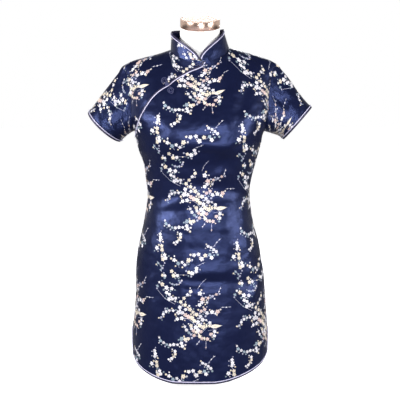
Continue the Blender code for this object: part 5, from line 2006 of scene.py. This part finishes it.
@dataclass
class Frog:
    """A knotted fastening: two flat coils of plied cord with a ball knot between them."""

    name: str
    x: float
    z: float
    slope: float
    reach_low: float
    reach_high: float
    radius: float
    turns: float
    cord: float
    knot: float
    knot_rise: float
    lower_gap: float
    upper_on_panel: bool
    steps: int = 44
    strands: int = 2
    ply_pitch: float = 0.0042
    ply_reach: float = 0.42
    ply_radius: float = 0.60
    core_share: float = 0.86
    loop_share: float = 0.20

    def over(self, places: Array, lift: Array) -> Array:
        """Points over the worn front at places in x and z."""
        found = np.array([SURFACE.column_at(1, x, z) for x, z in places])
        return SURFACE.point(1, found[:, 0], found[:, 1], lift)

    def lift_at(self, places: Array, lower: bool) -> Array:
        """How far the cloth or the edging below a coil stands out."""
        if lower:
            return SURFACE.overlap_lift(places[:, 0], places[:, 1]) + self.lower_gap
        if self.upper_on_panel:
            return np.zeros(len(places))
        return np.full(len(places), EDGING_TOP + PIPING_RADIUS - SEAM_GAP)

    def coil_path(self, lower: bool) -> Array:
        """The middle line of one coil."""
        turn = math.radians(self.slope)
        reach = self.reach_low if lower else -self.reach_high
        middle = np.array((self.x, self.z)) + reach * np.array((math.cos(turn), math.sin(turn)))
        share = np.linspace(0, 1, int(self.steps * self.turns))
        angle = (turn + math.pi if lower else turn) + 2 * math.pi * self.turns * share
        start = self.cord * COIL_START
        distance = start + (self.radius - self.cord - start) * share
        places = middle + np.stack((np.cos(angle), np.sin(angle)), axis=-1) * distance[:, None]
        return self.over(places, self.lift_at(places, lower) + self.cord + COIL_LIFT)

    def plied(self, path: Array, radius: float, cords: Generator) -> list[bpy.types.Object]:
        """Strands that wind round each other along a path.

        Args:
            path: The middle line.
            radius: Of the whole cord.
            cords: The cord generator.

        Returns:
            One mesh for each strand.
        """
        run = unit(np.gradient(path, axis=0))
        out = np.array((0.0, -1.0, 0.0))
        side = unit(np.cross(run, out))
        up = np.cross(side, run)
        lengths = line_lengths(path)
        made = []
        for k in range(self.strands):
            angle = 2 * math.pi * (lengths / self.ply_pitch + k / self.strands)
            aside = side * np.cos(angle)[:, None] + up * np.sin(angle)[:, None]
            line = path + aside * radius * self.ply_reach
            made.append(cords.apply(add_path("strand", line), "strand", Radius=radius * self.ply_radius,
                                    Sides=8, Material=FROG_CORD.material()))
        return made

    def ball(self, cords: Generator) -> bpy.types.Object:
        """The knot: loops of cord wound over each other round a flattened core."""
        u, h = SURFACE.column_at(1, self.x, self.z)
        centre = SURFACE.point(1, u, h, EDGING_TOP + self.knot_rise)
        mesh = bmesh.new()
        bmesh.ops.create_icosphere(mesh, subdivisions=3, radius=self.knot * self.core_share)
        for vert in mesh.verts:
            vert.co.y *= KNOT_FLATNESS
            vert.co += Vector(centre)
        core = show("core", mesh_from("core", mesh))
        core.data.materials.append(FROG_CORD.material())
        parts = [core]
        thickness = self.knot * self.loop_share
        reach = self.knot - thickness
        angle = np.linspace(0, 2 * math.pi, 40, endpoint=False)
        for k in range(6):
            lean = math.radians(38 if k % 2 else 66)
            turn = math.radians(60 * k + 15)
            out = math.sin(lean)
            axis = np.array((out * math.cos(turn), math.cos(lean), out * math.sin(turn)))
            first = unit(np.cross(axis, (0.3, 0.1, 1.0)))
            second = np.cross(axis, first)
            weave = 1 + 0.05 * np.sin(3 * angle + k)
            loop = (np.cos(angle)[:, None] * first + np.sin(angle)[:, None] * second) * weave[:, None] * reach
            loop[:, 1] *= KNOT_FLATNESS
            parts.append(cords.apply(add_path("loop", loop + centre, closed=True), "loop",
                                     Radius=thickness, Sides=7, Material=FROG_CORD.material()))
        return join(self.name + "_ball_knot", parts)

    def build(self, wardrobe: Wardrobe, cords: Generator) -> None:
        """Builds both coils and the knot, and hides the solids that they stand for."""
        for part, lower in (("lower", True), ("upper", False)):
            coil = join(f"{self.name}_{part}_coil", self.plied(self.coil_path(lower), self.cord, cords))
            wardrobe.keep(coil, "frog_cord", FROG_CORD, f"{self.name}_{part}")
        wardrobe.keep(self.ball(cords), "frog_cord", FROG_CORD, self.name + "_knot")


@dataclass
class DressForm:
    """The smooth limbless form with its leaning neck, and the polished cap on it."""

    clearance: float = 0.0052
    widest: float = 0.160
    largest_power: float = 2.5
    chest_lean: float = 0.9
    neck_radius: float = 0.048
    neck_top: tuple[float, float, float] = (0.001, -0.006, 0.8665)
    neck_tilt: float = math.radians(16)
    points: int = 112
    cap_profile: tuple[tuple[float, float], ...] = (
        (0.0004, -0.0016), (0.0008, -0.0006), (0.0018, 0.0), (0.0032, 0.0), (0.0036, -0.0006),
        (0.0052, -0.0006), (0.0056, 0.0), (0.0186, 0.0), (0.0196, -0.0004), (0.0202, -0.0016),
        (0.0204, -0.0036), (0.0204, -0.0200),
    )
    base_rows: tuple[tuple[float, ...], ...] = (
        (0.000, 0.085, 0.055, 0.085, 2.2),
        (0.012, 0.105, 0.072, 0.096, 2.2),
        (0.045, 0.132, 0.092, 0.108, 2.3),
        (0.095, 0.153, 0.104, 0.120, 2.35),
    )
    body_heights: tuple[float, ...] = (
        0.150, 0.210, 0.270, 0.330, 0.390, 0.430, 0.466, 0.510, 0.550, 0.600, 0.635, 0.665,
    )
    top_rows: tuple[tuple[float, ...], ...] = (
        (0.700, 0.1590, 0.0790, 0.0990, 2.3),
        (0.735, 0.1590, 0.0620, 0.0930, 2.1),
        (0.760, 0.1590, 0.0540, 0.0820, 1.8),
        (0.774, 0.1590, 0.0500, 0.0700, 1.5),
        (0.784, 0.1590, 0.0470, 0.0620, 1.28),
        (0.7915, 0.1310, 0.0460, 0.0570, 1.25),
        (0.7985, 0.0985, 0.0450, 0.0520, 1.20),
        (0.8050, 0.0680, 0.0460, 0.0490, 1.35),
        (0.8170, 0.0530, 0.0470, 0.0470, 1.85),
        (0.834, 0.0485, 0.0480, 0.0475, 2.0),
    )

    def table(self) -> Array:
        """All level rings of the form, from its base to its neck."""
        rows = [list(row) for row in self.base_rows]
        for height in self.body_heights:
            h = min(height, CHEST_HEIGHT)
            half = min(float(interpolate(BODY_RINGS, k, h)) for k in (RING_LEFT, RING_RIGHT))
            above = max(height - CHEST_HEIGHT, 0.0)
            rows.append([
                height,
                min(half - self.clearance, self.widest),
                float(interpolate(BODY_RINGS, RING_FRONT, h)) - self.clearance - above * self.chest_lean,
                float(interpolate(BODY_RINGS, RING_BACK, h)) - self.clearance,
                min(float(interpolate(BODY_RINGS, RING_POWER, h)), self.largest_power),
            ])
        return np.array(rows + [list(row) for row in self.top_rows])

    def level_rings(self) -> Array:
        """Rings of points, with two more between each pair of the table's rows."""
        table = self.table()
        steps = [np.linspace(a, b, 3, endpoint=False) for a, b in zip(table[:-1, 0], table[1:, 0])]
        heights = np.concatenate(steps + [table[-1:, 0]])
        share = [np.interp(heights, table[:, 0], table[:, k]) for k in range(1, 5)]
        angle = np.linspace(0, 2 * math.pi, self.points, endpoint=False)[None, :]
        half, front, back, power = (column[:, None] for column in share)
        sine, cosine = np.sin(angle), np.cos(angle)
        x = np.sign(sine) * np.abs(sine) ** (2 / power) * half
        y = -np.sign(cosine) * np.abs(cosine) ** (2 / power) * np.where(cosine > 0, front, back)
        return np.stack((x, y, heights[:, None] + 0 * x), axis=-1)

    def leaning_ring(self, up: float, wider: float = 0.0) -> Array:
        """A round ring square to the leaning neck, up from its top."""
        lean = np.array((0.0, -math.sin(self.neck_tilt), math.cos(self.neck_tilt)))
        forward = np.array((0.0, -math.cos(self.neck_tilt), -math.sin(self.neck_tilt)))
        angle = np.linspace(0, 2 * math.pi, self.points, endpoint=False)[:, None]
        radius = self.neck_radius + wider
        sideways = np.array((1.0, 0.0, 0.0))
        ring = radius * (sideways * np.sin(angle) + forward * np.cos(angle))
        return np.array(self.neck_top) + lean * up + ring

    def closed_skin(self, name: str, rings: Array) -> bpy.types.Object:
        """A closed skin through rings, with flat ends."""
        count, around = rings.shape[:2]
        faces = [tuple(face) for face in grid_faces(count, around, True)]
        faces.append(tuple(range(around)))
        faces.append(tuple(range((count - 1) * around, count * around)))
        made = add_mesh_loose(name, rings.reshape(-1, 3) + CENTRE_SHIFT, faces)
        mend_normals(made)
        made.data.set_sharp_from_angle(angle=math.radians(40))
        return made

    def build(self, wardrobe: Wardrobe) -> None:
        level = self.level_rings()
        top = self.leaning_ring(0.0)
        share = np.linspace(0, 1, 7)[1:, None, None]
        rings = np.concatenate((level, level[-1] + (top - level[-1]) * share))
        wardrobe.keep(self.closed_skin("dress_form_shell", rings), "form_shell", FormShell(), "dress_form")
        cap = np.stack([self.leaning_ring(up, wider) for up, wider in self.cap_profile])
        wardrobe.keep(self.closed_skin("neck_cap_metal", cap), "cap_metal", RoseMetal(), "neck_cap")


@dataclass(frozen=True)
class Softbox:
    """A soft rectangular studio light: place, what it faces, size and power."""

    name: str
    place: tuple[float, float, float]
    target: tuple[float, float, float]
    width: float
    height: float
    power: float
    colour: tuple[float, float, float] = (1.0, 1.0, 1.0)

    def hang(self) -> None:
        """Adds the light to the scene."""
        data = bpy.data.lights.new(self.name, "AREA")
        data.shape = "RECTANGLE"
        data.size = self.width
        data.size_y = self.height
        data.energy = self.power
        data.color = self.colour
        lamp = show(self.name, data)
        lamp.location = self.place
        run = Vector(self.target) - Vector(self.place)
        lamp.rotation_euler = run.to_track_quat("-Z", "Y").to_euler()


@dataclass
class Studio:
    """Pale floor, soft lights and the camera at the photograph's angle."""

    distance: float = 3.0
    elevation: float = 6.0
    azimuth: float = 0.0
    aim: tuple[float, float, float] = (0.0, 0.0, 0.4465)
    frame_height: float = 0.98
    sensor: float = 36.0
    world_strength: float = 1.0
    overhead: float = 0.14
    before: float = 0.20
    beyond: float = 0.62
    lights: tuple[Softbox, ...] = (
        Softbox("key", (0.30, -2.9, 1.25), (0.0, 0.0, 0.50), 0.60, 0.26, 62.0),
        Softbox("left", (-2.0, -1.3, 1.25), (0.0, 0.0, 0.55), 0.9, 0.6, 84.0),
        Softbox("right", (2.1, -1.1, 0.95), (0.0, 0.0, 0.50), 0.5, 0.9, 54.0),
        Softbox("low", (0.30, -2.5, 0.32), (0.03, -0.1, 0.58), 0.55, 0.14, 18.0),
        Softbox("rear", (0.3, 2.2, 1.5), (0.0, 0.0, 0.55), 0.9, 0.6, 26.0),
        Softbox("high_rear", (0.0, 2.1, 2.45), (0.0, 0.0, 0.86), 2.2, 1.1, 6.4),
    )

    def floor(self) -> None:
        """A wide pale floor under the form."""
        mesh = bmesh.new()
        bmesh.ops.create_circle(mesh, cap_ends=True, segments=96, radius=14.0)
        made = show("studio_floor", mesh_from("studio_floor", mesh))
        made.data.materials.append(PaleFloor().material())

    def world(self) -> None:
        """A white backdrop, and soft light that is dimmer in front and overhead."""
        world = bpy.data.worlds.new("white_studio")
        bpy.context.scene.world = world
        world.use_nodes = True
        graph = Graph(world.node_tree)
        back = world.node_tree.nodes["Background"]
        place = graph.node("ShaderNodeTexCoord")
        parts = graph.node("ShaderNodeSeparateXYZ", None, {0: place.outputs["Generated"]})
        up = Term(graph, parts.outputs["Z"])
        behind = (Term(graph, parts.outputs["Y"]) * 2.0 + 0.5).clipped()
        around = graph.mix(behind, (self.before,) * 3 + (1.0,), (self.beyond,) * 3 + (1.0,))
        light = graph.mix((up * 3.2 - 0.45).clipped(), around, (self.overhead,) * 3 + (1.0,))
        path = graph.node("ShaderNodeLightPath")
        seen = graph.mix(Term(graph, path.outputs["Is Camera Ray"]), light, (1.0, 1.0, 1.0, 1.0))
        graph.feed(back.inputs["Color"], seen)
        back.inputs["Strength"].default_value = self.world_strength
        bpy.context.scene.view_settings.view_transform = "Standard"

    def camera(self) -> None:
        """The camera, for a square frame."""
        data = bpy.data.cameras.new("studio_camera")
        data.sensor_width = self.sensor
        data.lens = self.sensor * self.distance / self.frame_height
        data.clip_start = 0.05
        data.clip_end = 60.0
        made = show("studio_camera", data)
        turn, rise = math.radians(self.azimuth), math.radians(self.elevation)
        back = Vector((math.sin(turn) * math.cos(rise), -math.cos(turn) * math.cos(rise), math.sin(rise)))
        made.location = Vector(self.aim) + back * self.distance
        made.rotation_euler = (-back).to_track_quat("-Z", "Y").to_euler()
        bpy.context.scene.camera = made

    def build(self) -> None:
        """Sets up the whole studio."""
        self.world()
        self.camera()
        self.floor()
        for light in self.lights:
            light.hang()


SLEEVES = (
    Sleeve("left", -1, (-0.232, 0.004, 0.626), (-0.678, 0.0, -0.736), 0.053, 0.046, 0.009, (0.010, -0.140), (
        (90, 0.28, 0, 0.42, 0.32, -0.0060),
        (20, 0.35, 10, 0.20, 0.16, -0.0022),
        (45, 0.55, -12, 0.25, 0.15, 0.0020),
        (-30, 0.45, 14, 0.22, 0.15, -0.0020),
        (150, 0.40, 10, 0.24, 0.16, -0.0020),
        (190, 0.60, -12, 0.24, 0.16, 0.0018),
        (85, 0.70, 4, 0.20, 0.20, 0.0012),
    )),
    Sleeve("right", 1, (0.239, 0.004, 0.634), (0.755, 0.0, -0.658), 0.052, 0.046, -0.002, (0.060, -0.150), (
        (90, 0.20, 0, 0.34, 0.30, -0.0035),
        (15, 0.40, -10, 0.22, 0.16, -0.0022),
        (48, 0.50, 12, 0.24, 0.15, 0.0020),
        (-25, 0.55, -14, 0.22, 0.15, 0.0018),
        (160, 0.45, -10, 0.24, 0.16, -0.0020),
        (200, 0.60, 12, 0.24, 0.16, 0.0018),
        (95, 0.60, -4, 0.20, 0.20, -0.0012),
    )),
)

FROGS = (
    Frog("chest_frog", -0.0755, 0.7265, -58, 0.0148, 0.0138, 0.0096, 2.0, 0.00120, 0.0048, 0.0047, 0.0024,
         True),
    Frog("neck_frog", 0.0015, 0.7740, -8, 0.0094, 0.0092, 0.0054, 1.25, 0.00095, 0.0036, 0.0018, 0.0002,
         False),
)


def main() -> None:
    """Builds every piece in order."""
    logging.basicConfig(level=logging.INFO, format="%(message)s", stream=sys.stdout)
    Studio().build()
    wardrobe = Wardrobe()
    brocade = Brocade()
    cords = brocade.cords
    stitches = stitch_generator()
    DressForm().build(wardrobe)
    panels = BodyPanels()
    panels.build(wardrobe, brocade)
    for side, name in ((1, "hem_front"), (-1, "hem_back")):
        panels.hem_edging(side, name).dress(wardrobe, cords, stitches)
    panels.opening_edging().dress(wardrobe, cords, stitches)
    for sleeve in SLEEVES:
        sleeve.build(wardrobe, brocade, cords, stitches)
    StandCollar().build(wardrobe, brocade, cords, stitches)
    for frog in FROGS:
        frog.build(wardrobe, cords)
    brocade.clear()
    LOG.info("%d pieces, %d triangles", wardrobe.count, wardrobe.triangles)


if __name__ == "__main__":
    main()
